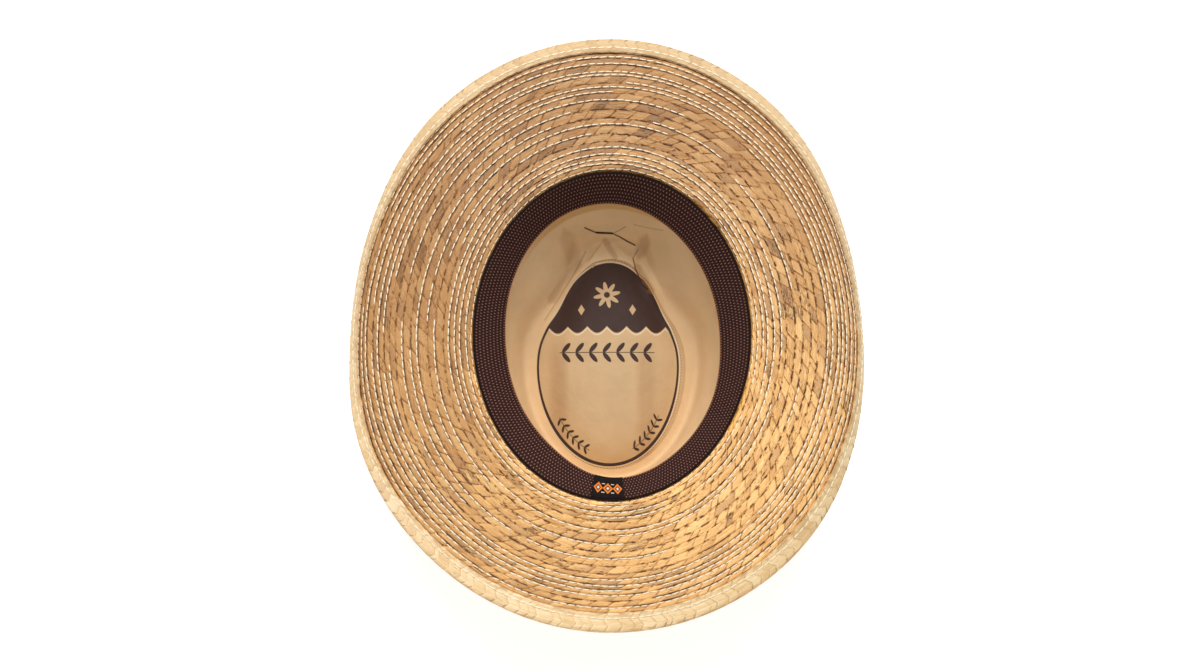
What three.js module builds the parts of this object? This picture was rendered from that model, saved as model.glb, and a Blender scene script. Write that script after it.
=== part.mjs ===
// Wide-brim fedora of sewn palm braid, lying upside down on its crown.
// Millimetres. +Z is up, out of the open head hole. +Y is the front of the hat.
// The origin is at the bottom centre of the whole hat's box.

import * as THREE from 'three'

// Driving sizes
const OPENING = { halfWide: 86, halfLong: 102 } // head hole at the break, for a 58 cm head
const CROWN_HEIGHT = 112 // from the crown's ridge to the break
const BRAID = 2 // thickness of the sewn braid
const CLOTH = 1 // thickness of the satin lining
const RIBBON = 1 // thickness of the woven sweatband
const GAP = 0.3 // clearance between pieces that touch
const AROUND = 60 // steps round the hat

// Crown sections, from the break to the middle of the dent in the top.
// up: height, centre: middle of the oval, half: half width, front and back: its ends,
// pinch: depth of the two front pinches, lift: how far the lining stands off the wall,
// fold: extra lift of the lining's fold between the pinches
const CROWN = [
  { up: 105, centre: 0, half: 87.8, front: 103.8, back: -103.8, pinch: 0, lift: 0.3, fold: 0 },
  { up: 86, centre: -1, half: 84, front: 101, back: -103, pinch: 0, lift: 0.4, fold: 0 },
  { up: 56, centre: -3, half: 78.5, front: 96, back: -101.5, pinch: 4, lift: 2.5, fold: 0 },
  { up: 30, centre: -5, half: 73, front: 90, back: -99.5, pinch: 10, lift: 3.5, fold: 3 },
  { up: 11, centre: -7, half: 68.5, front: 85, back: -97.5, pinch: 14, lift: 4.5, fold: 7 },
  { up: 2.5, centre: -8, half: 65, front: 81, back: -95, pinch: 15, lift: 5, fold: 1 },
  { up: 0, centre: -9, half: 61, front: 77, back: -92, pinch: 15, lift: 5, fold: 0 },
  { up: 0, centre: -10, half: 56.5, front: 73, back: -88.5, pinch: 14, lift: 4.5, fold: 0 },
  { up: 7, centre: -14, half: 47, front: 58.5, back: -81, pinch: 8, lift: 2, fold: 0 },
  { up: 15, centre: -17, half: 38, front: 43, back: -73, pinch: 4, lift: 1.5, fold: 0 },
  { up: 20.5, centre: -20, half: 28, front: 27, back: -62, pinch: 1, lift: 1.2, fold: 0 },
  { up: 22.5, centre: -23, half: 14, front: 4, back: -44, pinch: 0, lift: 1, fold: 0 },
]
const DENT_TOP = { up: 23, y: -22 }
const PINCH = { angle: 38, spread: 23 } // degrees from the front, each side
const FOLD_SPREAD = 16 // degrees from the front
const LINING_FROM = 1 // the section row where the lining starts, behind the sweatband
const LINING_SEAM = 8 // the section row where the lining's side meets its tip

// Brim, every 30 degrees from the right side, turning towards the front.
// width: flat width, rise: slope near the crown, roll: how far the edge turns down,
// start: the share of the width where the roll starts, edge: width of the light row,
// lean: how far the sweatband's free edge stands in
const BRIM = [
  { width: 82, rise: 3, roll: 78, start: 0.42, edge: 13, lean: 16.9 },
  { width: 80, rise: 4, roll: 68, start: 0.42, edge: 11.5, lean: 17.8 },
  { width: 80, rise: 7, roll: 40, start: 0.55, edge: 10.8, lean: 17.8 },
  { width: 81.5, rise: 10, roll: 34, start: 0.75, edge: 9.3, lean: 15.6 },
  { width: 81, rise: 8, roll: 30, start: 0.65, edge: 9.6, lean: 14.4 },
  { width: 80, rise: 5, roll: 58, start: 0.6, edge: 9.6, lean: 15.9 },
  { width: 83, rise: 3, roll: 68, start: 0.54, edge: 11.2, lean: 18.1 },
  { width: 82, rise: 6, roll: 34, start: 0.55, edge: 9, lean: 18.5 },
  { width: 80, rise: 9, roll: 12, start: 0.6, edge: 10.9, lean: 18.2 },
  { width: 79.5, rise: 11, roll: 6, start: 0.7, edge: 11.8, lean: 13.1 },
  { width: 79.5, rise: 9, roll: 14, start: 0.6, edge: 11.6, lean: 13.8 },
  { width: 79.5, rise: 6, roll: 54, start: 0.5, edge: 11, lean: 14.4 },
]
const RISE_OVER = 0.2 // share of the width over which the slope builds up
const FLARE = 5 // radius of the turn from crown wall to brim
const FLARE_STEPS = [0, 0.35, 0.7] // shares of that turn that have a ring
const BRIM_STEPS = 9 // rings from the flare to the brim's last row
const SLOPE_STEPS = 24 // steps that add up the brim's slope

// Light braid row at the brim's edge, from its inner side to its outer side.
// share: share of its width in from the edge, less: taken off that,
// lift: height of its lower face over the brim's middle
const EDGE = { overlap: 3.5, thick: 2.4 }
const EDGE_SECTION = [
  { share: 1, less: 0, lift: BRAID / 2 + GAP },
  { share: 1, less: EDGE.overlap + 0.6, lift: BRAID / 2 + GAP },
  { share: 0.35, less: 0, lift: 0.2 },
  { share: 0, less: 0, lift: -0.6 },
]

// Sweatband: how deep it reaches, and how far its sewn edge lies below the break
const BAND = { depth: 27, drop: 2.7 }
const BAND_STEPS = [0, 0.35, 0.7, 1]

// Label over the band's joint at the back
const LABEL = { middle: -91.6, halfAngle: 6.1, from: 0.02, to: 0.97, thick: 0.8, steps: 4 }

const degrees = Math.PI / 180
const smooth = (t) => t * t * (3 - 2 * t)

// Angle of step i round the hat, from the right side towards the front.
const turn = (i) => (i / AROUND) * 2 * Math.PI

// Smooth value of one column of a table whose rows go once round the hat.
function around(table, column, angle) {
  const place = ((angle / (2 * Math.PI)) * table.length + table.length) % table.length
  const k = Math.floor(place)
  const t = place - k
  const at = (n) => table[(n + table.length) % table.length][column]
  const [a, b, c, d] = [at(k - 1), at(k), at(k + 1), at(k + 2)]
  return b + 0.5 * t * (c - a + t * (2 * a - 5 * b + 4 * c - d + t * (3 * (b - c) + d - a)))
}

// Distance to an oval with its own reach to the front and to the back.
function oval(angle, half, front, back) {
  const side = Math.cos(angle)
  const ahead = Math.sin(angle)
  return 1 / Math.hypot(side / half, ahead / (ahead >= 0 ? front : back))
}

// Point of a crown section at an angle.
function crownPoint(row, angle) {
  let reach = oval(angle, row.half, row.front - row.centre, row.centre - row.back)
  for (const side of [-1, 1]) {
    const off = angle / degrees - (90 + side * PINCH.angle)
    const nearest = ((off + 540) % 360) - 180
    reach -= row.pinch * Math.exp(-((nearest / PINCH.spread) ** 2))
  }
  return new THREE.Vector3(reach * Math.cos(angle), row.centre + reach * Math.sin(angle), row.up)
}

// The break's oval, moved out by some distance, as a point and an outward direction.
function breakPoint(angle) {
  const { halfWide, halfLong } = OPENING
  const reach = oval(angle, halfWide, halfLong, halfLong)
  const point = new THREE.Vector3(reach * Math.cos(angle), reach * Math.sin(angle), CROWN_HEIGHT)
  const out = new THREE.Vector3(point.x / halfWide ** 2, point.y / halfLong ** 2, 0).normalize()
  return { point, out }
}

// Slope of the brim, in radians, at a share of its width.
function brimSlope(angle, share) {
  const start = around(BRIM, 'start', angle)
  const rolled = Math.min(Math.max((share - start) / (1 - start), 0), 1)
  const roll = around(BRIM, 'roll', angle) * smooth(rolled)
  return (around(BRIM, 'rise', angle) * Math.min(share / RISE_OVER, 1) - roll) * degrees
}

// Middle of the brim's thickness at a share of its flat width, lifted off by some distance.
function brimPoint(angle, share, lift = 0) {
  const { point, out } = breakPoint(angle)
  const width = around(BRIM, 'width', angle)
  let run = BRAID / 2 + FLARE
  let up = -BRAID / 2
  const length = ((width - FLARE) * share) / SLOPE_STEPS
  for (let i = 0; i < SLOPE_STEPS; i++) {
    const slope = brimSlope(angle, (share * (i + 0.5)) / SLOPE_STEPS)
    run += length * Math.cos(slope)
    up += length * Math.sin(slope)
  }
  const slope = brimSlope(angle, share)
  run -= lift * Math.sin(slope)
  up += lift * Math.cos(slope)
  return point.addScaledVector(out, run).add(new THREE.Vector3(0, 0, up))
}

// Point of the turn between crown wall and brim, from 0 at the wall to 1 at the brim.
function flarePoint(angle, share) {
  const { point, out } = breakPoint(angle)
  const bend = (share * Math.PI) / 2
  const run = BRAID / 2 + FLARE * (1 - Math.cos(bend))
  const up = -BRAID / 2 - FLARE * (1 - Math.sin(bend))
  return point.addScaledVector(out, run).add(new THREE.Vector3(0, 0, up))
}

// Normals of a grid of rings, each ring going once round the hat.
function gridNormals(rings, pole) {
  const count = rings[0].length
  return rings.map((ring, k) =>
    ring.map((point, i) => {
      const before = rings[Math.max(k - 1, 0)][i]
      const last = k + 1 === rings.length
      const after = last ? (pole ?? point) : rings[k + 1][i]
      const along = new THREE.Vector3().subVectors(after, before)
      const round = new THREE.Vector3().subVectors(ring[(i + 1) % count], ring[(i + count - 1) % count])
      return new THREE.Vector3().crossVectors(round, along).normalize()
    }),
  )
}

// A grid moved along its normals by a distance that may depend on ring and step.
function moved(rings, distance, pole) {
  const normals = gridNormals(rings, pole)
  const by = (k, i) => (typeof distance === 'function' ? distance(k, i) : distance)
  const shifted = (point, k, i) => point.clone().addScaledVector(normals[k][i], by(k, i))
  return rings.map((ring, k) => ring.map((point, i) => shifted(point, k, i)))
}

// Closed wall between two grids of rings. Each grid may end in a pole.
function wall(front, back, frontPole, backPole) {
  const count = front[0].length
  const points = []
  const faces = []
  const addRing = (ring) => {
    const first = points.length
    ring.forEach((point) => points.push(point))
    return first
  }
  const strip = (a, b, flip) => {
    for (let i = 0; i < count; i++) {
      const j = (i + 1) % count
      const quad = [a + i, a + j, b + j, b + i]
      if (flip) quad.reverse()
      faces.push([quad[0], quad[1], quad[2]], [quad[0], quad[2], quad[3]])
    }
  }
  const fan = (a, pole, flip) => {
    points.push(pole)
    const tip = points.length - 1
    for (let i = 0; i < count; i++) {
      const j = (i + 1) % count
      faces.push(flip ? [a + j, a + i, tip] : [a + i, a + j, tip])
    }
  }
  const frontRings = front.map(addRing)
  const backRings = back.map(addRing)
  for (let k = 0; k + 1 < front.length; k++) {
    strip(frontRings[k], frontRings[k + 1], false)
    strip(backRings[k], backRings[k + 1], true)
  }
  strip(backRings[0], frontRings[0], false)
  if (frontPole) {
    fan(frontRings.at(-1), frontPole, false)
    fan(backRings.at(-1), backPole, true)
  } else {
    strip(frontRings.at(-1), backRings.at(-1), false)
  }
  return solid(points, faces)
}

// Buffer geometry of points and triangles, turned to face out.
function solid(points, faces) {
  let volume = 0
  for (const [a, b, c] of faces) {
    volume += points[a].dot(new THREE.Vector3().crossVectors(points[b], points[c]))
  }
  const outward = volume < 0 ? faces.map(([a, b, c]) => [c, b, a]) : faces
  const geometry = new THREE.BufferGeometry().setFromPoints(points)
  geometry.setIndex(outward.flat())
  geometry.computeVertexNormals()
  return geometry
}

const rounds = (make) => Array.from({ length: AROUND }, (_, i) => make(turn(i)))

// Outer face of the crown, from the break to the middle of the dent.
const crownOuter = CROWN.map((row) => rounds((angle) => crownPoint(row, angle)))
const dentPole = new THREE.Vector3(0, DENT_TOP.y, DENT_TOP.up)
const raised = (by) => dentPole.clone().add(new THREE.Vector3(0, 0, by))

function crown() {
  return wall(crownOuter, moved(crownOuter, BRAID, dentPole), dentPole, raised(BRAID))
}

// How far the lining's outer face stands off the crown's outer face.
function liningLift(k, i) {
  const off = turn(i) / degrees - 90
  return BRAID + CROWN[k].lift + CROWN[k].fold * Math.exp(-((off / FOLD_SPREAD) ** 2))
}
const liningOuter = moved(crownOuter, liningLift, dentPole)

function liningWall() {
  const outer = liningOuter.slice(LINING_FROM, LINING_SEAM + 1)
  return wall(outer, moved(outer, CLOTH))
}

function liningTip() {
  const lastLift = BRAID + CROWN.at(-1).lift
  const seam = liningOuter[LINING_SEAM]
  const inside = liningOuter[LINING_SEAM + 1]
  const clear = seam.map((point, i) => {
    const share = GAP / point.distanceTo(inside[i])
    return point.clone().lerp(inside[i], Math.min(share, 1))
  })
  const outer = [clear, ...liningOuter.slice(LINING_SEAM + 1)]
  const pole = raised(lastLift)
  return wall(outer, moved(outer, CLOTH, pole), pole, raised(lastLift + CLOTH))
}

// Share of the brim's width that lies a distance in from its edge.
const edgeShare = (angle, inset) => 1 - inset / (around(BRIM, 'width', angle) - FLARE)
const edgeWidth = (angle) => around(BRIM, 'edge', angle)

function brim() {
  const flare = FLARE_STEPS.map((share) => rounds((angle) => flarePoint(angle, share)))
  const reach = (angle) => edgeShare(angle, edgeWidth(angle) - EDGE.overlap)
  const flat = Array.from({ length: BRIM_STEPS + 1 }, (_, step) =>
    rounds((angle) => brimPoint(angle, (step / BRIM_STEPS) * reach(angle))),
  )
  const middle = [...flare, ...flat]
  return wall(moved(middle, -BRAID / 2), moved(middle, BRAID / 2))
}

// The edge row lies over the brim's last row and reaches past it.
function edgeBraid() {
  const lower = EDGE_SECTION.map(({ share, less, lift }) =>
    rounds((angle) => brimPoint(angle, edgeShare(angle, share * edgeWidth(angle) - less), lift)),
  )
  return wall(lower, moved(lower, -EDGE.thick))
}

// Point of the sweatband's outer face, from 0 at the break to 1 at its free edge.
function bandPoint(angle, share, inset = 0) {
  const { point, out } = breakPoint(angle)
  const lean = around(BRIM, 'lean', angle)
  const slant = Math.atan2(BAND.depth, lean)
  const run = -lean * share - inset * Math.sin(slant)
  const up = -BAND.drop - BAND.depth * share + inset * Math.cos(slant)
  return point.addScaledVector(out, run).add(new THREE.Vector3(0, 0, up))
}

function sweatband() {
  const face = (inset) => BAND_STEPS.map((share) => rounds((angle) => bandPoint(angle, share, inset)))
  return wall(face(0), face(RIBBON))
}

// A slip of ribbon over the band at the back, as a closed block of two bent faces.
function label() {
  const columns = LABEL.steps * 2
  const points = []
  const faces = []
  for (const inset of [RIBBON + GAP, RIBBON + GAP + LABEL.thick]) {
    for (let r = 0; r <= LABEL.steps; r++) {
      const share = LABEL.from + ((LABEL.to - LABEL.from) * r) / LABEL.steps
      for (let c = 0; c <= columns; c++) {
        const angle = (LABEL.middle + LABEL.halfAngle * ((2 * c) / columns - 1)) * degrees
        points.push(bandPoint(angle, share, inset))
      }
    }
  }
  const width = columns + 1
  const layer = width * (LABEL.steps + 1)
  const at = (side, r, c) => side * layer + r * width + c
  const quad = (a, b, c, d) => faces.push([a, b, c], [a, c, d])
  for (let r = 0; r < LABEL.steps; r++) {
    for (let c = 0; c < columns; c++) {
      quad(at(0, r, c), at(0, r, c + 1), at(0, r + 1, c + 1), at(0, r + 1, c))
      quad(at(1, r, c), at(1, r + 1, c), at(1, r + 1, c + 1), at(1, r, c + 1))
    }
    quad(at(0, r, 0), at(0, r + 1, 0), at(1, r + 1, 0), at(1, r, 0))
    quad(at(0, r, columns), at(1, r, columns), at(1, r + 1, columns), at(0, r + 1, columns))
  }
  for (let c = 0; c < columns; c++) {
    quad(at(0, 0, c), at(1, 0, c), at(1, 0, c + 1), at(0, 0, c + 1))
    quad(at(0, LABEL.steps, c), at(0, LABEL.steps, c + 1), at(1, LABEL.steps, c + 1), at(1, LABEL.steps, c))
  }
  return solid(points, faces)
}

// Materials, by what each piece is made of
const palm = new THREE.MeshStandardMaterial({ color: 0xc89d6b, roughness: 0.7, metalness: 0 })
const lightPalm = new THREE.MeshStandardMaterial({ color: 0xe2c896, roughness: 0.7, metalness: 0 })
const ribbon = new THREE.MeshStandardMaterial({ color: 0x3e2821, roughness: 0.85, metalness: 0 })
const satin = new THREE.MeshStandardMaterial({ color: 0xc8a06e, roughness: 0.5, metalness: 0 })
const labelCloth = new THREE.MeshStandardMaterial({ color: 0x17171b, roughness: 0.8, metalness: 0 })

// Gives a geometry its name and material.
function piece(name, geometry, material) {
  const mesh = new THREE.Mesh(geometry, material.clone())
  mesh.name = name
  return mesh
}

const hat = new THREE.Group()
hat.add(
  piece('crown', crown(), palm),
  piece('brim', brim(), palm),
  piece('edge_braid', edgeBraid(), lightPalm),
  piece('sweatband', sweatband(), ribbon),
  piece('label', label(), labelCloth),
  piece('lining_wall', liningWall(), satin),
  piece('lining_tip', liningTip(), satin),
)

// The origin goes to the bottom centre of the box.
const box = new THREE.Box3().setFromObject(hat)
const centre = box.getCenter(new THREE.Vector3())
hat.position.set(-centre.x, -centre.y, -box.min.z)

export default hat
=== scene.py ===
"""Looks of a wide-brim fedora of sewn palm braid, lying upside down on its crown."""

import math

import bpy
import numpy as np
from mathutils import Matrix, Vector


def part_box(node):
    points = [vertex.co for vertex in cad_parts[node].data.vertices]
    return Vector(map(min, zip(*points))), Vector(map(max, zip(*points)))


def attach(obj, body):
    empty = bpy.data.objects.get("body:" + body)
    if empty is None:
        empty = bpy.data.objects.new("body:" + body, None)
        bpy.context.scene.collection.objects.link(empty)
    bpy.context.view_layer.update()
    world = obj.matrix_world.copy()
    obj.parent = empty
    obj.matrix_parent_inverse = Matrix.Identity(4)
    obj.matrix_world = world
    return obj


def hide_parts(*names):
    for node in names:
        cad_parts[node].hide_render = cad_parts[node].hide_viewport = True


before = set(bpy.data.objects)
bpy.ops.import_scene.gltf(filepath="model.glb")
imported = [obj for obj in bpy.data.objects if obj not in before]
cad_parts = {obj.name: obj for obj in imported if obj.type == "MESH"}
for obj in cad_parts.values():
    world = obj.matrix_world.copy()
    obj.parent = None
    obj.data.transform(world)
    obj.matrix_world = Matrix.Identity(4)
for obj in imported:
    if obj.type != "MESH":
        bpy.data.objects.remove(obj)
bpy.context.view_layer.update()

bl_info = {
    "name": "Palm Braid Fedora",
    "version": (1, 0, 0),
    "blender": (4, 5, 0),
    "location": "View3D > Sidebar > Fedora",
    "description": "Builds the braid, sweatband, label and lining of a palm fedora",
    "category": "Add Mesh",
}

# Lengths in the hat's own frame are in millimetres, and MM turns them into metres
MM = 0.001
TURN = 2 * math.pi
# Small turn, in radians, over which a surface's direction is taken
TWIST = 0.004

# The middle of the head hole, where x and y of the hat's own frame are zero
band_low, band_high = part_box("sweatband")
HOLE_X = (band_low.x + band_high.x) / 2 / MM
HOLE_Y = (band_low.y + band_high.y) / 2 / MM
CROWN_HEIGHT = 112.0

# Form of the solids that the pieces stand for
HALF_WIDE = 86.0
HALF_LONG = 102.0
BRAID = 2.0
CLOTH = 1.0
RIBBON = 1.0
GAP = 0.3

# Crown sections from the brim to the dent in the top. up: height, centre: middle of the oval,
# half: half width, front and back: its ends, pinch: depth of the two front pinches,
# lift: how far the lining stands off, fold: more lift between the pinches
CROWN = np.array(
    [
        (105, 0, 87.8, 103.8, -103.8, 0, 0.3, 0),
        (86, -1, 84, 101, -103, 0, 0.4, 0),
        (56, -3, 78.5, 96, -101.5, 4, 2.5, 0),
        (30, -5, 73, 90, -99.5, 10, 3.5, 3),
        (11, -7, 68.5, 85, -97.5, 14, 4.5, 7),
        (2.5, -8, 65, 81, -95, 15, 5, 1),
        (0, -9, 61, 77, -92, 15, 5, 0),
        (0, -10, 56.5, 73, -88.5, 14, 4.5, 0),
        (7, -14, 47, 58.5, -81, 8, 2, 0),
        (15, -17, 38, 43, -73, 4, 1.5, 0),
        (20.5, -20, 28, 27, -62, 1, 1.2, 0),
        (22.5, -23, 14, 4, -44, 0, 1, 0),
        (23, -22, 0.1, -21.9, -22.1, 0, 1, 0),
    ],
    dtype=[(name, float) for name in "up centre half front back pinch lift fold".split()],
)
PINCH_ANGLE = 38.0
PINCH_SPREAD = 23.0
FOLD_SPREAD = 16.0
LINING_FROM = 1.0
LINING_SEAM = 8.0
LAST_PLACE = len(CROWN) - 1.04

# Lining grid: steps round, down the side and over the tip, and how it is pulled taut
LINING_ROUND = 520
LINING_SIDE = 70
LINING_TIP = 64
TAUT_FROM = 2.5
TAUT_TURNS = 320
SOFT_TURNS = 24
# Middle of the tip's print, and how far its border lies off the seam's middle
TIP_X = -2.8
TIP_SHIFT = -2.6
BORDER_INSET = 3.6
# Print, in plan: the dark field's edge, its scallops, the flower and the diamonds
FIELD_Y = 12.0
SCALLOP = 13
SCALLOP_DEEP = 4.5
FLOWER_Y = 33.0
DIAMOND_X = 17.0
DIAMOND_Y = 23.0
# Leaf sprays across the middle and along the border: leaf pitch, and where the leaves start
MIDDLE_DOWN = 5.5
MIDDLE_PITCH = 9.0
MIDDLE_START = 103.5
SPRAY_INSET = 11.4
SPRAY_PITCH = 6.0
SPRAY_START = 198.0
# Soft folds of the lining at the front, in plan. depth: positive towards the viewer
FOLDS = np.array(
    [
        (-3, 72, -14, 55, 1.8, 3.0),
        (-3, 72, 12, 58, 1.8, 3.0),
        (20, 68, 22, 46, -2.4, 4.0),
        (20, 44, 41, 8, 1.4, 3.0),
        (-22, 68, -26, 50, -2.2, 4.0),
        (-22, 46, -45, 10, 1.2, 3.0),
    ],
    dtype=[(name, float) for name in "x y to_x to_y depth width".split()],
)
DARK_LINE = [(name, float) for name in "x y to_x to_y width dark".split()]
# Painted shade of the sharp creases there, as dark lines with no depth. width: half width of the dark line,
# dark: its tone
CREASE_SHADES = np.array(
    [
        (-17.5, 76.4, -10, 74.4, 0.65, 0.9),
        (-10, 74.4, 1, 74.1, 0.9, 1.0),
        (1, 73.9, 9.6, 77.6, 0.45, 0.45),
        (1, 74.0, 5.8, 72.2, 0.6, 0.85),
        (5.8, 72.2, 16.2, 67.2, 0.6, 0.9),
        (14.7, 78.4, 33.8, 72.7, 0.5, 0.25),
        (18.2, 64.9, 14.7, 58.9, 0.6, 0.45),
        (14.7, 58.9, 16.4, 51.1, 0.6, 0.75),
        (16.4, 51.1, 20.8, 40.7, 0.7, 0.75),
        (20.8, 40.7, 24.3, 37.2, 0.9, 0.95),
        (24.3, 37.2, 38.9, 7.8, 0.6, 0.4),
        (-17, 63.3, -25.9, 46.2, 0.7, 0.3),
        (-25.9, 46.2, -44.4, 17, 0.7, 0.25),
        (-14.8, 56.8, -5.2, 70.5, 0.5, 0.2),
    ],
    dtype=DARK_LINE,
)
# Painted soft brown shade in the hollows beside them
SHADES = np.array(
    [
        (-29.4, 70, -24, 56, 7.5, 0.24),
        (22.3, 69, 19.5, 62, 6.0, 0.32),
        (-22, 56, -40, 30, 4.5, 0.35),
        (-4, 70, 3, 59, 3.0, 0.35),
        (17.5, 53, 27, 36, 4.0, 0.4),
    ],
    dtype=DARK_LINE,
)

# Oval of the sweatband's painted shadow on the lining's front
BAND_SHADOW_HALF = 72.0
BAND_SHADOW_FRONT = 91.0

# Brim every 30 degrees from the right side towards the front. width: flat width, rise: slope
# near the crown, roll: how far the edge turns down, start: share of the width where it starts,
# edge: width of the light row, lean: how far the sweatband's free edge stands in
BRIM = np.array(
    [
        (82, 3, 78, 0.42, 13, 16.9),
        (80, 4, 68, 0.42, 11.5, 17.8),
        (80, 7, 40, 0.55, 10.8, 17.8),
        (81.5, 10, 34, 0.75, 9.3, 15.6),
        (81, 8, 30, 0.65, 9.6, 14.4),
        (80, 5, 58, 0.6, 9.6, 15.9),
        (83, 3, 68, 0.54, 11.2, 18.1),
        (82, 6, 34, 0.55, 9, 18.5),
        (80, 9, 12, 0.6, 10.9, 18.2),
        (79.5, 11, 6, 0.7, 11.8, 13.1),
        (79.5, 9, 14, 0.6, 11.6, 13.8),
        (79.5, 6, 54, 0.5, 11, 14.4),
    ],
    dtype=[(name, float) for name in "width rise roll start edge lean".split()],
)
RISE_OVER = 0.2
FLARE = 5.0
FLARE_LENGTH = FLARE * math.pi / 2
SLOPE_STEPS = 24
EDGE_OVERLAP = 3.5
# Radius of the ring on which the palm's texture is laid out
FLOW_REACH = 125.0
EDGE_SEAM = 0.28
STITCH_INSET = 0.62
FEWEST_CELLS = 5
# Narrow rows beside the sweatband and beside the light row, whose stitches mostly show
NEAR_ROWS = 5
FAR_ROWS = 8
# Least and most relative width of a row
ROW_WIDTHS = (0.85, 1.35)
NEAR_WIDTHS = (0.72, 0.9)
FAR_WIDTHS = (0.7, 1.05)
# Least and most share of a row's sewing that shows
ROW_OPEN = (0.3, 0.62)
NEAR_OPEN = (0.7, 0.95)
FAR_OPEN = (0.72, 0.98)
CROWN_OPEN = (0.3, 0.85)
# Seeds of the random draws
BRIM_SEED = 11
CROWN_SEED = 23
EDGE_SEED = 37
STITCH_WIDTH = 0.76
STITCH_HEIGHT = 0.6
# Stitches' heights over the middle of the braid, and how far those of its other side are moved
STITCH_LIFT = 0.85
EDGE_STITCH_LIFT = 2.6
UNDER_LIFT = -0.92
UNDER_INSET = -0.1
# How uneven they are: in radians along the row, aside, in size, and the mean and spread of tilt
STITCH_ALONG = 0.0006
STITCH_ASIDE = 0.08
STITCH_SIZES = (0.86, 1.08)
STITCH_TILT = (0.02, 0.035)
# How far the first rows reach past the break, and how far the rows' lines stray
BRIM_TUCK = 0.8
CROWN_TUCK = 0.6
BRIM_STRAY = 0.36
CROWN_STRAY = 0.35
STRAY_WAVES = 4
# Last rows in the crown's dent, which keep an even line, and those that show no stitches
EVEN_ROWS = 4
BARE_ROWS = 2
# Slant of the cells, and how far they are uneven
ROW_SLANT = 0.56
EDGE_SLANT = 0.42
CELL_SHIFT = 0.36
CELL_BULGE = 0.5
CELL_RAISE = 0.05
POINT_RAISE = 0.025

# Sweatband: how deep it reaches, and how far its sewn edge lies below the break
BAND_DEPTH = 27.0
BAND_DROP = 2.7
# Radius and width with which its texture is laid out
BAND_REACH = 95
BAND_SLANT = 32
# Its round, as a share of the break's, which sets how many picks it has
BAND_ROUND = 0.92
# Steps of its weave, and how high its ribs and picks stand
DOT_STEPS = 4
RIB_STEPS = 6
RIB_SUNK = 0.15
RIB_HUMP = 0.22
PICK_LIFT = 0.2
# Thread at its free edge: steps, and half its thickness along and through the band
BINDING_SIDES = 6
BINDING_STEPS = 360
BINDING_SHARE = 0.02
BINDING_HALF = 0.6

# Label over the band's joint at the back, in degrees and shares of the band's depth
LABEL_MIDDLE = -91.6
LABEL_HALF = 6.1
LABEL_FROM = 0.02
LABEL_TO = 0.97
LABEL_THICK = 0.8
LABEL_HALF_WIDE = 10.2
LABEL_DEEP = 29.0
LABEL_PUFF = 0.35
LABEL_STEPS_ACROSS = 48
LABEL_STEPS_DOWN = 28
LABEL_MOTIF_Y = -2.5

# Camera, from the middle of the head hole
CAMERA_RIGHT = -7.4
CAMERA_DISTANCE = 1200.0
CAMERA_TILT = 4.0
FOCAL_PIXELS = 1944.0
PHOTO_WIDTH = 1200.0
SENSOR = 36.0

# Place of the key light and its width, in metres
KEY_PLACE = (0.0, 1.05, 1.75)
KEY_SIZE = 1.0
# Floor: half its width and how far it lies under the hat, in metres, and its colour
FLOOR_HALF = 4.0
FLOOR_DROP = 0.0005
FLOOR_COLOUR = (0.92, 0.92, 0.92)


def srgb(red, green, blue):
    """Linear colour of screen values from 0 to 255."""
    shares = [value / 255 for value in (red, green, blue)]
    return tuple(s / 12.92 if s <= 0.04045 else ((s + 0.055) / 1.055) ** 2.4 for s in shares)


# Colours of small details, among them painted shade, shadow and highlight on the lining
LOOP_GAP = srgb(112, 72, 40)
RIBBON_END = srgb(22, 16, 16)
LABEL_DIAMOND = srgb(255, 138, 56)
LABEL_BAR = srgb(238, 232, 222)
SATIN_HOLLOW_SHADE = srgb(160, 112, 70)
SATIN_TRIM_AND_HIGHLIGHT = srgb(255, 240, 212)
SATIN_DEEP_SHADE = srgb(208, 166, 116)
SATIN_BAND_SHADOW = srgb(226, 184, 120)
SATIN_SHADE = srgb(168, 118, 72)
SATIN_CREASE_SHADE = srgb(52, 30, 18)


def smooth(t):
    """Eased value of a share from 0 to 1."""
    t = np.clip(t, 0, 1)
    return t * t * (3 - 2 * t)


def through(values, place, wrap=False):
    """Smooth value at a place in a list, counted in steps of the list."""
    whole = np.floor(place).astype(int)
    t = place - whole
    last = len(values) - 1
    a, b, c, d = (
        values[(whole + n) % len(values)] if wrap else values[np.clip(whole + n, 0, last)]
        for n in (-1, 0, 1, 2)
    )
    return b + 0.5 * t * (c - a + t * (2 * a - 5 * b + 4 * c - d + t * (3 * (b - c) + d - a)))


def round_brim(column, angle):
    """Value of one of the brim's columns at an angle."""
    return through(BRIM[column], np.asarray(angle) / TURN * len(BRIM), wrap=True)


def oval(angle, half, front, back):
    """Reach of an oval with its own ends to the front and to the back."""
    ahead = np.sin(angle)
    end = np.where(ahead >= 0, front, back)
    return 1 / np.hypot(np.cos(angle) / half, ahead / end)


def off_angle(angle, degrees):
    """Degrees between an angle and a direction, from -180 to 180."""
    return (np.degrees(angle) - degrees + 540) % 360 - 180


def crown_at(angle, place):
    """Point of the crown's outer face at a place in the list of sections."""
    at = {name: through(CROWN[name], place) for name in ("up", "centre", "half", "front", "back", "pinch")}
    reach = oval(angle, at["half"], at["front"] - at["centre"], at["centre"] - at["back"])
    for side in (-1, 1):
        off = off_angle(angle, 90 + side * PINCH_ANGLE)
        reach = reach - at["pinch"] * np.exp(-((off / PINCH_SPREAD) ** 2))
    x = reach * np.cos(angle)
    y = at["centre"] + reach * np.sin(angle)
    return np.stack([x, y, np.maximum(at["up"], 0) + 0 * reach], axis=-1)


def place_table():
    """Places in the list of sections and the distance down the side that each lies at."""
    places = np.linspace(0, LAST_PLACE, 700)
    line = crown_at(np.zeros_like(places), places)
    steps = np.linalg.norm(np.diff(line, axis=0), axis=1)
    return places, np.concatenate([[0], np.cumsum(steps)])


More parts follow.
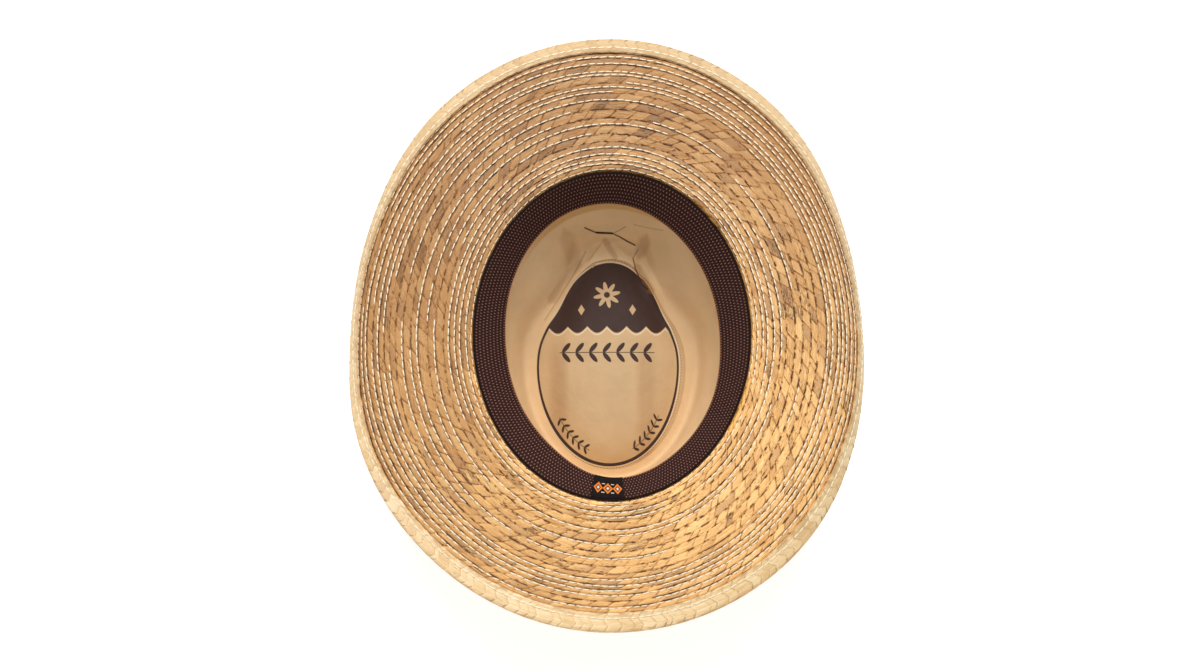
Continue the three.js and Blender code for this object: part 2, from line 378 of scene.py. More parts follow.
PLACES, PLACE_LENGTHS = place_table()
CROWN_LENGTH = PLACE_LENGTHS[-1]


def crown_surface(angle, run):
    """Point of the crown's outer face at a distance from the brim."""
    point = crown_at(angle, np.interp(run, PLACE_LENGTHS, PLACES))
    point[..., 2] -= np.minimum(run, 0)
    return point


def break_at(angle):
    """Point where crown and brim meet, and the outward direction there."""
    reach = oval(angle, HALF_WIDE, HALF_LONG, HALF_LONG)
    x = reach * np.cos(angle)
    y = reach * np.sin(angle)
    out = np.stack([x / HALF_WIDE**2, y / HALF_LONG**2, 0 * x], axis=-1)
    out /= np.linalg.norm(out, axis=-1, keepdims=True)
    return np.stack([x, y, CROWN_HEIGHT + 0 * x], axis=-1), out


def brim_surface(angle, run):
    """Middle of the brim's thickness at a distance from the crown wall, turn included."""
    point, out = break_at(angle)
    bend = np.clip(run / FLARE_LENGTH, 0, 1) * math.pi / 2
    outward = BRAID / 2 + FLARE * (1 - np.cos(bend))
    up = -BRAID / 2 - FLARE * (1 - np.sin(bend)) + np.minimum(run, 0)
    flat = round_brim("width", angle) - FLARE
    share = np.maximum(run - FLARE_LENGTH, 0) / flat
    rise, roll, start = (round_brim(name, angle) for name in ("rise", "roll", "start"))
    for i in range(SLOPE_STEPS):
        part = share * (i + 0.5) / SLOPE_STEPS
        turned = roll * smooth((part - start) / (1 - start))
        slope = np.radians(rise * np.minimum(part / RISE_OVER, 1) - turned)
        outward = outward + flat * share / SLOPE_STEPS * np.cos(slope)
        up = up + flat * share / SLOPE_STEPS * np.sin(slope)
    return point + out * outward[..., None] + np.stack([0 * up, 0 * up, up], axis=-1)


def brim_length(angle, inset=0.0):
    """Distance from the crown wall to the brim's edge, or to a line inside it."""
    return FLARE_LENGTH + round_brim("width", angle) - FLARE - inset


def with_normals(surface, angle, run):
    """Points of a surface and its outward directions."""
    step = 0.4
    down = surface(angle, run + step) - surface(angle, run - step)
    across = surface(angle + TWIST, run) - surface(angle - TWIST, run)
    normal = np.cross(down, across)
    size = np.linalg.norm(normal, axis=-1, keepdims=True)
    return surface(angle, run), normal / np.maximum(size, 1e-9)


def band_at(angle, share, inset):
    """Point of the sweatband at a share of its depth, moved in from its outer face."""
    point, out = break_at(angle)
    lean = round_brim("lean", angle)
    slant = np.arctan2(BAND_DEPTH, lean)
    outward = -lean * share - inset * np.sin(slant)
    up = -BAND_DROP - BAND_DEPTH * share + inset * np.cos(slant)
    return point + out * outward[..., None] + np.stack([0 * up, 0 * up, up], axis=-1)


class Skin:
    """Points, faces and painted values of one piece, gathered before its mesh is made.

    cell is painted on face corners: place along, place across, seed. flow and open are
    painted on points: place round the hat, and how open the sewing lies at both sides."""

    def __init__(self):
        self.points = []
        self.faces = []
        self.cells = []
        self.painted = {"flow": [], "open": []}
        self.count = 0

    def add(self, points, faces, cells=None, **painted):
        """Takes points, faces that count from zero, and the values painted on them."""
        self.points.append(points)
        self.faces.append(faces + self.count)
        self.cells.append(np.zeros((*faces.shape, 3)) if cells is None else cells)
        for name, blocks in self.painted.items():
            blocks.append(painted.get(name, np.zeros_like(points)))
        self.count += len(points)

    def make(self, name, material, sharp=40.0):
        """The finished object, riding on the hat's body."""
        mesh = bpy.data.meshes.new(name)
        points = (np.concatenate(self.points) + np.array([HOLE_X, HOLE_Y, 0.0])) * MM
        faces = np.concatenate(self.faces)
        three = faces[:, 2] == faces[:, 3]
        mesh.from_pydata(points.tolist(), [], [f[:3] if t else f for f, t in zip(faces.tolist(), three)])
        kept = np.ones(faces.shape, bool)
        kept[three, 3] = False
        cell = mesh.attributes.new("cell", "FLOAT_VECTOR", "CORNER")
        cell.data.foreach_set("vector", np.concatenate(self.cells)[kept].reshape(-1).astype(np.float32))
        for paint, blocks in self.painted.items():
            layer = mesh.attributes.new(paint, "FLOAT_VECTOR", "POINT")
            layer.data.foreach_set("vector", np.concatenate(blocks).reshape(-1).astype(np.float32))
        mesh.shade_smooth()
        mesh.set_sharp_from_angle(angle=math.radians(sharp))
        mesh.materials.append(material)
        piece = bpy.data.objects.new(name, mesh)
        bpy.context.scene.collection.objects.link(piece)
        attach(piece, "root")
        return piece


def ring_faces(columns, section, closed=True):
    """Faces of a tube round the hat, from columns of points that follow its section."""
    column = np.arange(columns)[:, None]
    row = np.arange(section if closed else section - 1)[None, :]
    ahead = (column + 1) % columns
    below = (row + 1) % section
    here = column * section
    there = ahead * section
    corners = [here + row, here + below, there + below, there + row]
    return np.stack(corners, axis=-1).reshape(-1, 4)


SECTION_POINT = [("across", float), ("lift", float), ("shut", float)]
# Section of a lapped braid row. across: share of the row's pitch, lift: height over the middle
# where the sewing lies open, shut: the same where it is hidden
ROW_SECTION = np.array(
    [
        (0.0, 0.05, 0.2),
        (0.03, 0.66, 0.56),
        (0.14, 0.6, 0.6),
        (0.4, 0.8, 0.66),
        (0.72, 0.7, 0.62),
        (0.9, 0.36, 0.5),
        (1.0, 0.0, 0.3),
        (1.15, -0.2, -0.2),
        (1.12, -0.85, -0.85),
        (0.75, -0.72, -0.72),
        (0.35, -0.3, -0.3),
    ],
    dtype=SECTION_POINT,
)
# Columns of one cell of the plait. along: share of the cell, lift: height over the row
CELL_COLUMNS = np.array(
    [(0.0, -0.16), (0.07, 0.14), (0.5, 0.08), (0.93, -0.06)],
    dtype=[("along", float), ("lift", float)],
)


def stretches(generator, share):
    """Function that gives how open a line of sewing lies at an angle, from 0 to 1."""
    phases = generator.uniform(0, TURN, 9)

    def waves(angle):
        return sum(np.sin((m + 1) * angle + phase) / (m + 1) ** 0.7 for m, phase in enumerate(phases))

    limit = np.quantile(waves(np.linspace(0, TURN, 720)), share)
    return lambda angle: smooth((limit - waves(angle)) / 0.5 + 0.5)


def evenly(surface, line):
    """Length round a line of a surface, and a function from a share of it to the angle."""
    angle = np.linspace(0, TURN, 361)
    steps = np.linalg.norm(np.diff(surface(angle, line(angle)), axis=0), axis=1)
    lengths = np.concatenate([[0], np.cumsum(steps)])
    shares = lengths / lengths[-1]
    return lengths[-1], lambda share: np.interp(share % 1, shares, angle) + TURN * np.floor(share)


def braid_row(skin, surface, lines, cell_length, section, lean, shift, generator, way=1.0):
    """Adds one ring of plaited braid between two lines of a surface.

    lines holds the run of both sides and how open the sewing lies along each, as functions
    of the angle. lean gives the slant of the cells, in cells, by the share across. way is 1
    where the run leads out over the brim and -1 where it leads down the crown."""
    start, stop, open_start, open_stop = lines
    about, angle_at = evenly(surface, start)
    cells = max(round(about / cell_length), FEWEST_CELLS)
    along = CELL_COLUMNS["along"]
    per_cell = len(along)
    columns = cells * per_cell
    u = np.tile(along, cells)
    number = np.repeat(np.arange(cells), per_cell)
    moved = generator.uniform(-CELL_SHIFT, CELL_SHIFT, cells)
    starts = number + moved[number] * (1 - u) + moved[(number + 1) % cells] * u + u
    across = section["across"]
    angle = angle_at((starts[:, None] - lean(across)[None, :]) / cells + generator.uniform(0, 1))
    low = start(angle)
    run = low + (stop(angle) - low) * across[None, :]
    bulge = (np.sin(np.pi * u) * generator.uniform(0.0, CELL_BULGE, cells)[number])[:, None]
    run = run - bulge * (across < 0.1) + bulge * (across > 1.05)
    opened = np.where(across < 0.5, open_start(angle), open_stop(angle))
    lift = section["shut"] + (section["lift"] - section["shut"]) * opened
    face = np.where(lift > -0.1, 1.0, -1.0) * (across > 0.02) * (across < 1.11)
    raised = generator.normal(0, CELL_RAISE, cells)[number]
    relief = np.tile(CELL_COLUMNS["lift"], cells) * generator.uniform(0.1, 1.0, cells)[number] + raised
    lift = lift + shift + relief[:, None] * face + generator.normal(0, POINT_RAISE, lift.shape)
    point, normal = with_normals(surface, angle, run)
    point = point + normal * lift[..., None]
    point[..., 2] = np.maximum(point[..., 2], 0.0)
    rows = len(section)
    ahead_u = np.append(along[1:], 1.0)
    corner_u = np.empty((columns, rows, 4))
    corner_u[..., 0] = corner_u[..., 1] = u[:, None]
    corner_u[..., 2] = corner_u[..., 3] = np.tile(ahead_u, cells)[:, None]
    corner_v = np.empty((columns, rows, 4))
    corner_v[..., 0] = corner_v[..., 3] = across[None, :]
    corner_v[..., 1] = corner_v[..., 2] = np.roll(across, -1)[None, :]
    seeds = generator.uniform(0, 1, cells)
    corner_seed = np.broadcast_to(seeds[number][:, None, None], (columns, rows, 4))
    values = np.stack([corner_u, corner_v, corner_seed], axis=-1).reshape(-1, 4, 3)
    flow = np.stack([FLOW_REACH * np.cos(angle), FLOW_REACH * np.sin(angle), way * run], axis=-1)
    sewing = np.stack([open_start(angle), open_stop(angle), 0 * angle], axis=-1)
    skin.add(
        point.reshape(-1, 3),
        ring_faces(columns, rows),
        values,
        flow=flow.reshape(-1, 3),
        open=sewing.reshape(-1, 3),
    )


def slanted(across):
    """Slant of a row's cells, in cells, by the share across."""
    return ROW_SLANT * across


def strayed(angle, phases, size):
    """How far a row's line strays at an angle."""
    return sum(size / (m + 1) * np.sin((m + 1) * angle + phase) for m, phase in enumerate(phases))


def beside_line(line, distance):
    """A line of a surface, moved outward by a distance."""
    return lambda angle: line(angle) + distance


# Rings of one stitch. along: share of its length, size: share of its full thickness
STITCH_RINGS = ((-0.46, 0.8), (0.0, 1.0), (0.46, 0.8))
STITCH_SIDES = 5


def stitch_form(length, width, height):
    """Points and faces of one stitch: along, aside and up."""
    points = [(-length / 2, 0, -height * 0.2)]
    for along, size in STITCH_RINGS:
        for side in range(STITCH_SIDES):
            turn = TURN * (side + 0.25) / STITCH_SIDES
            aside = math.cos(turn) * width / 2 * size
            points.append((along * length, aside, math.sin(turn) * height / 2 * size))
    points.append((length / 2, 0, -height * 0.2))
    end = len(points) - 1
    faces = []
    for side in range(STITCH_SIDES):
        after = (side + 1) % STITCH_SIDES
        faces.append((0, 1 + after, 1 + side, 1 + side))
        for ring in range(len(STITCH_RINGS) - 1):
            a = 1 + ring * STITCH_SIDES
            b = a + STITCH_SIDES
            faces.append((a + side, a + after, b + after, b + side))
        last = 1 + (len(STITCH_RINGS) - 1) * STITCH_SIDES
        faces.append((last + side, last + after, end, end))
    return np.array(points), np.array(faces)


def stitch_line(skin, surface, line, lift, opened, pitch, form, generator, side=1.0):
    """Adds a dashed line of stitches round a surface, where the sewing lies open."""
    about, angle_at = evenly(surface, line)
    count = max(int(about / pitch), 3)
    angle = angle_at((np.arange(count) + generator.uniform(0, 1)) / count)
    angle = angle[opened(angle) > generator.uniform(0.3, 0.7, count)]
    if not len(angle):
        return
    angle = angle + generator.normal(0, STITCH_ALONG, len(angle))
    run = line(angle) + generator.normal(0, STITCH_ASIDE, len(angle))
    point, normal = with_normals(surface, angle, run)
    ahead = surface(angle + TWIST, line(angle + TWIST)) - surface(angle - TWIST, line(angle - TWIST))
    ahead /= np.linalg.norm(ahead, axis=-1, keepdims=True)
    normal = normal * side
    aside = np.cross(normal, ahead)
    template, faces = form
    size = generator.uniform(*STITCH_SIZES, (len(angle), 1, 1))
    tilt = generator.normal(*STITCH_TILT, (len(angle), 1, 1))
    along = template[None, :, 0:1] * size
    aslant = template[None, :, 1:2] + template[None, :, 0:1] * tilt
    points = point[:, None, :] + ahead[:, None, :] * along + aside[:, None, :] * aslant
    points = points + normal[:, None, :] * (template[None, :, 2:3] + lift * side)
    offsets = (np.arange(len(angle)) * len(template))[:, None, None]
    values = np.zeros((len(angle), len(faces), 4, 3))
    values[..., 2] = generator.uniform(0, 1, len(angle))[:, None, None]
    blocks = (faces[None, :, :] + offsets).reshape(-1, 4)
    skin.add(points.reshape(-1, 3), blocks, values.reshape(-1, 4, 3))


class Wire:
    """A socket of a shader graph. An expression on it adds Math nodes."""

    def __init__(self, graph, socket):
        self.graph = graph
        self.socket = socket

    def math(self, operation, *values):
        """A Math node on the values."""
        return self.graph.node("ShaderNodeMath", {"operation": operation}, dict(enumerate(values)))

    def __add__(self, other):
        return self.math("ADD", self, other)

    def __sub__(self, other):
        return self.math("SUBTRACT", self, other)

    def __rsub__(self, other):
        return self.math("SUBTRACT", other, self)

    def __mul__(self, other):
        return self.math("MULTIPLY", self, other)

    def __truediv__(self, other):
        return self.math("DIVIDE", self, other)

    def __pow__(self, other):
        return self.math("POWER", self, other)

    def __abs__(self):
        return self.math("ABSOLUTE", self)

    def least(self, other):
        """The smaller of two values."""
        return self.math("MINIMUM", self, other)

    def most(self, other):
        """The larger of two values."""
        return self.math("MAXIMUM", self, other)

    def sine(self):
        """The sine of the value, in radians."""
        return self.math("SINE", self)

    def fraction(self):
        """What the value has past its whole number."""
        return self.math("FRACT", self)

    def eased(self, low, high):
        """0 below low, 1 above high and smooth between them."""
        values = {"Value": self, "From Min": low, "From Max": high}
        return self.graph.node("ShaderNodeMapRange", {"interpolation_type": "SMOOTHSTEP"}, values)

    def out(self, name):
        """Another output of the node that this socket belongs to."""
        return Wire(self.graph, self.socket.node.outputs[name])


class Graph:
    """Shader graph of one material, around a Principled BSDF."""

    def __init__(self, name, constants):
        self.material = bpy.data.materials.new(name)
        self.material.use_nodes = True
        self.tree = self.material.node_tree
        self.surface = self.tree.nodes["Principled BSDF"]
        for socket, value in constants.items():
            self.surface.inputs[socket].default_value = value

    def put(self, socket, value):
        """Gives a socket a link or a plain value."""
        if isinstance(value, Wire):
            self.tree.links.new(value.socket, socket)
        elif socket.type == "RGBA" and len(value) == 3:
            socket.default_value = (*value, 1.0)
        else:
            socket.default_value = value

    def node(self, kind, settings, values):
        """Adds a node: its settings first, then the values or links of its sockets."""
        node = self.tree.nodes.new(kind)
        for name, setting in settings.items():
            if name == "stops":
                self.set_stops(node.color_ramp, setting)
            else:
                setattr(node, name, setting)
        for key, value in values.items():
            self.put(node.inputs[key], value)
        return Wire(self, next(o for o in node.outputs if o.enabled))

    def set_stops(self, ramp, stops):
        """Sets a colour ramp's stops from places and colours."""
        while len(ramp.elements) < len(stops):
            ramp.elements.new(1.0)
        for element, (place, colour) in zip(ramp.elements, stops):
            element.position = place
            element.color = (*colour, 1.0)

    def mix(self, share, first, second, blend="MIX"):
        """Mixes two colours."""
        settings = {"data_type": "RGBA", "blend_type": blend}
        return self.node("ShaderNodeMix", settings, {0: share, 6: first, 7: second})

    def vector(self, operation, first, second):
        """A Vector Math node on two vectors."""
        return self.node("ShaderNodeVectorMath", {"operation": operation}, {0: first, 1: second})

    def painted(self, name):
        """A vector that was painted on the mesh."""
        attribute = self.node("ShaderNodeAttribute", {"attribute_name": name}, {})
        return attribute.out("Vector")

    def parts(self, vector):
        """The three numbers of a vector."""
        split = self.node("ShaderNodeSeparateXYZ", {}, {0: vector})
        return split.out("X"), split.out("Y"), split.out("Z")

    def noise(self, vector, scale, detail=2.0):
        """Noise from 0 to 1, with a number of features per millimetre."""
        values = {"Vector": vector, "Scale": scale, "Detail": detail}
        return self.node("ShaderNodeTexNoise", {}, values)

    def stretched_noise(self, vector, along, across, detail=2.0):
        """Noise on the way round the hat, in features per millimetre each way."""
        return self.noise(self.vector("MULTIPLY", vector, (along, along, across)), 1.0, detail)

    def chance(self, seed):
        """Three seeded numbers from 0 to 1."""
        white = self.node("ShaderNodeTexWhiteNoise", {"noise_dimensions": "1D"}, {"W": seed * 917.3})
        return self.parts(white.out("Color"))

    def bump(self, height, strength, distance):
        """Feeds a bump into the surface's normal."""
        values = {"Height": height, "Strength": strength, "Distance": distance}
        self.put(self.surface.inputs["Normal"], self.node("ShaderNodeBump", {}, values))

    def finish(self, colour, roughness=None):
        """Feeds colour and roughness into the surface and gives the material."""
        self.put(self.surface.inputs["Base Color"], colour)
        if roughness is not None:
            self.put(self.surface.inputs["Roughness"], roughness)
        return self.material


# Multipliers of the palm's colour at the front, back, left, right and beside the sweatband, for brim and
# crown and for the edge row: partly the palm's own tone and partly painted light and shade, which make each
# side of the hat lighter or darker
BRIM_TINTS_AND_LIGHT = (
    (0.84, 0.79, 0.76),
    (1.28, 1.25, 1.09),
    (0.84, 0.79, 0.75),
    (1.055, 1.03, 0.985),
    (1.36, 1.26, 0.86),
)
EDGE_TINTS_AND_LIGHT = ((0.76, 0.72, 0.66), (1.1, 1.1, 1.06), (1.12, 1.12, 1.12), (0.89, 0.875, 0.8), (1.0, 1.0, 1.0))

# Where the noise starts to show weathered palm, and the strength of the dark lines
BRIM_PATCHES = 0.64
EDGE_PATCHES = 0.72
BRIM_DARKS = 1.0
EDGE_DARKS = 0.38


def palm_material(name, colours, patches, strong, tints_and_light):
    """Palm leaf, with its own tone on each cell of the plait, and painted light and shade.

    patches is where the noise starts to show weathered palm, strong scales all dark lines.
    tints_and_light multiply the colour at the front, back, left, right and beside the sweatband: partly the
    palm's own tone and partly painted light and shade."""
    graph = Graph(name, {"Roughness": 0.6, "Specular IOR Level": 0.3})
    flow = graph.painted("flow")
    u, v, seed = graph.parts(graph.painted("cell"))
    side, ahead, run = graph.parts(flow)
    sewn_in, sewn_out = graph.parts(graph.painted("open"))[:2]
    tone, other, third = graph.chance(seed)
    apart = graph.node("ShaderNodeCombineXYZ", {}, {0: seed * 90, 1: seed * 40, 2: seed * 70})
    shifted = graph.vector("ADD", flow, apart)
    broad = graph.stretched_noise(flow, 0.03, 0.06, 3.0)
    patch = graph.stretched_noise(shifted, 0.16, 0.5, 3.0)
    grain = graph.stretched_noise(shifted, 0.14, 2.6, 3.0)
    fibre = graph.stretched_noise(flow, 0.4, 6.0, 2.0)
    spots = graph.stretched_noise(flow, 0.32, 1.3, 2.0)
    strokes = graph.stretched_noise(flow, 0.22, 0.5, 3.0)
    ragged = graph.stretched_noise(flow, 0.3, 0.8, 2.0)
    front = (ahead / FLOW_REACH * 0.5 + 0.5).eased(0.0, 1.0)
    right = (side / FLOW_REACH * 0.5 + 0.5).eased(0.0, 1.0)

    # Tone of each cell, with weathered cells that gather in places and lighter streaks along the grain, and
    # painted glints along each row's and each cell's raised edge
    ramp = [(0.16, colours.brown), (0.42, colours.tan), (0.6, colours.tan), (0.86, colours.light)]
    mixed = tone * 0.62 + patch * 0.24 + broad * 0.14
    colour = graph.node("ShaderNodeValToRGB", {"stops": ramp}, {0: mixed})
    worn = other * 0.6 + broad * 0.4 + front * 0.05 - right * 0.05
    grey = worn.eased(patches, patches + 0.08)
    colour = graph.mix(grey * (patch * 0.7 + 0.35), colour, colours.grey)
    streak = grain.eased(0.46, 0.6) * 0.32 + fibre.eased(0.46, 0.6) * 0.2
    colour = graph.mix(streak, colour, colours.brown)
    gleam = (1 - grain).eased(0.5, 0.6) * (1 - grey) * 0.55
    colour = graph.mix(gleam, colour, colours.light)
    lit_row = 1 - abs(v - 0.12).eased(0.02, 0.1)
    lit_cell = 1 - abs(u - 0.13).eased(0.02, 0.08)
    glint = lit_row.most(lit_cell * 0.8) * (1 - grey * 0.5) * ragged.eased(0.45, 0.6)
    colour = graph.mix(glint * 0.75, colour, colours.glint)

    # Dark ticks at the cells' corners, blotches and small flecks
    beside = u.least(1 - u)
    ends = v.eased(0.62, 0.9).most(1 - v.eased(0.1, 0.34))
    tick = (1 - beside.eased(0.04, 0.12)) * ends * ragged.eased(0.46, 0.52) * third.eased(0.1, 0.4)
    stain = (third * 0.55 + worn * 0.5).eased(patches + 0.14, patches + 0.19)
    blotch = stain * grain.eased(0.46, 0.56) * 0.7
    fleck = spots.eased(0.63, 0.66) * worn.eased(patches - 0.3, patches)
    colour = graph.mix((tick * 0.95).most(blotch).most(fleck * 0.85) * strong, colour, colours.dark)

    # Cracks between cells and strokes along the laps, with painted shade under the laps, along each row's
    # inner edge, in the sewn groove and at the end of each cell
    lap = v.least(1 - v)
    halo = (1 - beside.eased(0.02, 0.14)) * (third * 0.6 + 0.2)
    halo = halo.most((1 - lap.eased(0.04, 0.3)) * strokes.eased(0.42, 0.58)) * ragged.eased(0.3, 0.55)
    colour = graph.mix(halo * 0.75, colour, colours.burnt)
    crack = 1 - beside.eased(0.012, ragged * 0.07 + 0.02)
    crack = crack * (third.eased(0.3, 0.9) * 0.75 + 0.15) * ragged.eased(0.36, 0.52)
    stroke = (1 - lap.eased(0.05, strokes * 0.3)) * strokes.eased(0.5, 0.57)
    lap_shade = v.eased(0.86, 0.97) * (sewn_out * 0.5 + 0.4) * ragged.eased(0.3, 0.5)
    edge = (1 - v.eased(0.02, 0.05)) * (sewn_in * 0.5 + 0.15)
    groove = (1 - abs(v - 0.15).eased(0.02, 0.08)) * sewn_in * 0.4
    hidden = crack.most(lap_shade * 0.8).most(edge).most(groove).most(stroke * 0.9) * strong
    colour = graph.mix(hidden, colour, colours.dark)
    shade = 1 - (1 - u).eased(0.0, 0.34)
    colour = graph.mix(shade * 0.45 * other, colour, colours.brown)

    # Small dark gaps between the loops at the outer edge
    loops = (1 - beside.eased(0.07, 0.13)) * (1 - abs(v - 0.86).eased(0.07, 0.11))
    colour = graph.mix(loops * colours.loops * tone.eased(0.3, 0.8), colour, LOOP_GAP)
    # Painted light and shade by side of the hat, partly the palm's own tone: the colour multiplied between
    # front and back and between left and right
    at_front, at_back, at_left, at_right, at_band = tints_and_light
    colour = graph.mix(1.0, colour, graph.mix(front, at_back, at_front), "MULTIPLY")
    colour = graph.mix(1.0, colour, graph.mix(right, at_left, at_right), "MULTIPLY")
    # Painted shade round the hat, mixed towards the shade brown: over the outer brim at the left, over the
    # front half and most at the front right, and over the inner rows at the far left
    outer = run.eased(25.0, 60.0)
    left = 1 - right
    corner = (front * right).eased(0.55, 0.95)
    browner = outer * (left * 0.14 + front.eased(0.0, 0.5) * 0.13 + corner * 0.4)
    browner = browner + (1 - outer) * run.eased(4.0, 10.0) * left.eased(0.9, 1.0) * 0.35
    colour = graph.mix(browner, colour, colours.shade_brown)
    # The first rows beside the sweatband: yellower in their own tone, and lightened further as painted light
    # against the shade where the brim turns into the crown
    beside_band = 1 - abs(run).eased(1.5, 6.5)
    colour = graph.mix(1.0, colour, graph.mix(beside_band, (1.0, 1.0, 1.0), at_band), "MULTIPLY")
    graph.bump(grain * 0.6 + fibre * 0.4, 0.5, 0.0008)
    return graph.finish(colour, grain * 0.2 + 0.42)


def thread_material(name, colour, deep):
    """Twisted sewing thread."""
    graph = Graph(name, {"Roughness": 0.7, "Specular IOR Level": 0.3, "Sheen Weight": 0.2})
    tone = graph.chance(graph.parts(graph.painted("cell"))[2])[0]
    return graph.finish(graph.mix(tone * 0.25, colour, deep))


def colour_setting(name, description, red, green, blue):
    """A colour that a user can change, from screen values."""
    default = srgb(red, green, blue)
    return bpy.props.FloatVectorProperty(name=name, description=description, subtype="COLOR", default=default)


def length_setting(name, description, length):
    """A length that a user can change, from millimetres."""
    default = length * MM
    words = {"name": name, "description": description}
    return bpy.props.FloatProperty(**words, default=default, unit="LENGTH", subtype="DISTANCE")


def share_setting(name, description, default):
    """A strength that a user can change."""
    return bpy.props.FloatProperty(name=name, description=description, default=default, min=0.0)


def count_setting(name, description, default, fewest, most):
    """A number of rows or ribs that a user can change."""
    return bpy.props.IntProperty(name=name, description=description, default=default, min=fewest, max=most)


class FedoraBraid(bpy.types.PropertyGroup):
    """Sizes and colours of the palm braid."""

    brim_rows: count_setting("Brim Rows", "Rows of braid on the brim", 20, 16, 26)
    row_pitch: length_setting("Crown Row Pitch", "Distance between the crown's rows", 4.4)
    cell_length: length_setting("Cell Length", "Length of one cell of the plait", 10.0)
    stitch_length: length_setting("Stitch Length", "Length of one visible stitch", 4.5)
    stitch_pitch: length_setting("Stitch Pitch", "Distance from one stitch to the next", 4.9)
    tan: colour_setting("Palm", "Main colour of the palm", 226, 180, 124)
    light: colour_setting("Light Palm", "Colour of the lightest cells", 247, 209, 153)
    glint: colour_setting("Glints", "Colour of the bright borders", 252, 200, 122)
    loops: share_setting("Loop Gaps", "Strength of the gaps at the edge", 0.0)
    brown: colour_setting("Brown Palm", "Colour of the browner cells", 192, 142, 92)
    grey: colour_setting("Grey Patches", "Colour of the weathered patches", 176, 142, 110)
    burnt: colour_setting("Burnt Palm", "Colour beside the cracks", 142, 80, 24)
    # Colour of the painted shade round the hat
    shade_brown: colour_setting("Toasted Palm", "Colour where the palm is browner", 170, 118, 68)
    dark: colour_setting("Cracks", "Colour between the cells", 60, 30, 8)
    thread: colour_setting("Thread", "Colour of the sewing thread", 255, 245, 218)


class FedoraEdge(bpy.types.PropertyGroup):
    """Sizes and colours of the light row at the brim's edge."""

    cell_length: length_setting("Cell Length", "Length of one cell of the plait", 6.6)
    tan: colour_setting("Palm", "Main colour of the edge", 242, 210, 166)
    light: colour_setting("Light Palm", "Colour of the lightest cells", 253, 232, 196)
    glint: colour_setting("Glints", "Colour of the bright borders", 255, 240, 206)
    loops: share_setting("Loop Gaps", "Strength of the gaps at the edge", 0.6)
    brown: colour_setting("Brown Palm", "Colour of the browner cells", 224, 186, 132)
    grey: colour_setting("Grey Patches", "Colour of the weathered patches", 218, 182, 140)
    burnt: colour_setting("Burnt Palm", "Colour beside the cracks", 214, 170, 116)
    # Colour of the painted shade round the hat
    shade_brown: colour_setting("Toasted Palm", "Colour where the palm is browner", 238, 206, 160)
    dark: colour_setting("Cracks", "Colour between the cells", 138, 98, 58)


class FedoraBand(bpy.types.PropertyGroup):
    """Sizes and colours of the sweatband and its label."""

    ribs: count_setting("Ribs", "Lengthwise ribs of the ribbon", 9, 4, 14)
    dot_pitch: length_setting("Dot Pitch", "Distance between the light picks of the weave", 1.95)
    ribbon: colour_setting("Ribbon", "Colour of the ribbon", 58, 32, 28)
    pick: colour_setting("Picks", "Colour of the light picks", 176, 142, 128)
    binding: colour_setting("Edge Thread", "Colour of the thread at the free edge", 196, 134, 82)
    label: colour_setting("Label", "Colour of the label", 27, 24, 26)


class FedoraLining(bpy.types.PropertyGroup):
    """Colours of the satin lining. The side is the tip's satin given a lighter colour, as painted light where
    the crown's depth shades it.
    """

    satin: colour_setting("Tip Satin", "Colour of the tip", 214, 181, 138)
    # Lighter than the tip's satin as painted light, where the crown's depth shades the side
    side: colour_setting("Side Satin", "Colour of the side", 255, 226, 182)
    print_colour: colour_setting("Print", "Colour of the printed ornament", 68, 50, 45)


class FedoraStage(bpy.types.PropertyGroup):
    """Light and floor."""

    key: bpy.props.FloatProperty(
        name="Key Light", description="Power of the key light", default=30.0, unit="POWER"
    )
    fill: share_setting("Fill", "Strength of the light from all round", 0.5)
    floor_glow: share_setting("Floor Glow", "Light that the floor gives off", 0.58)


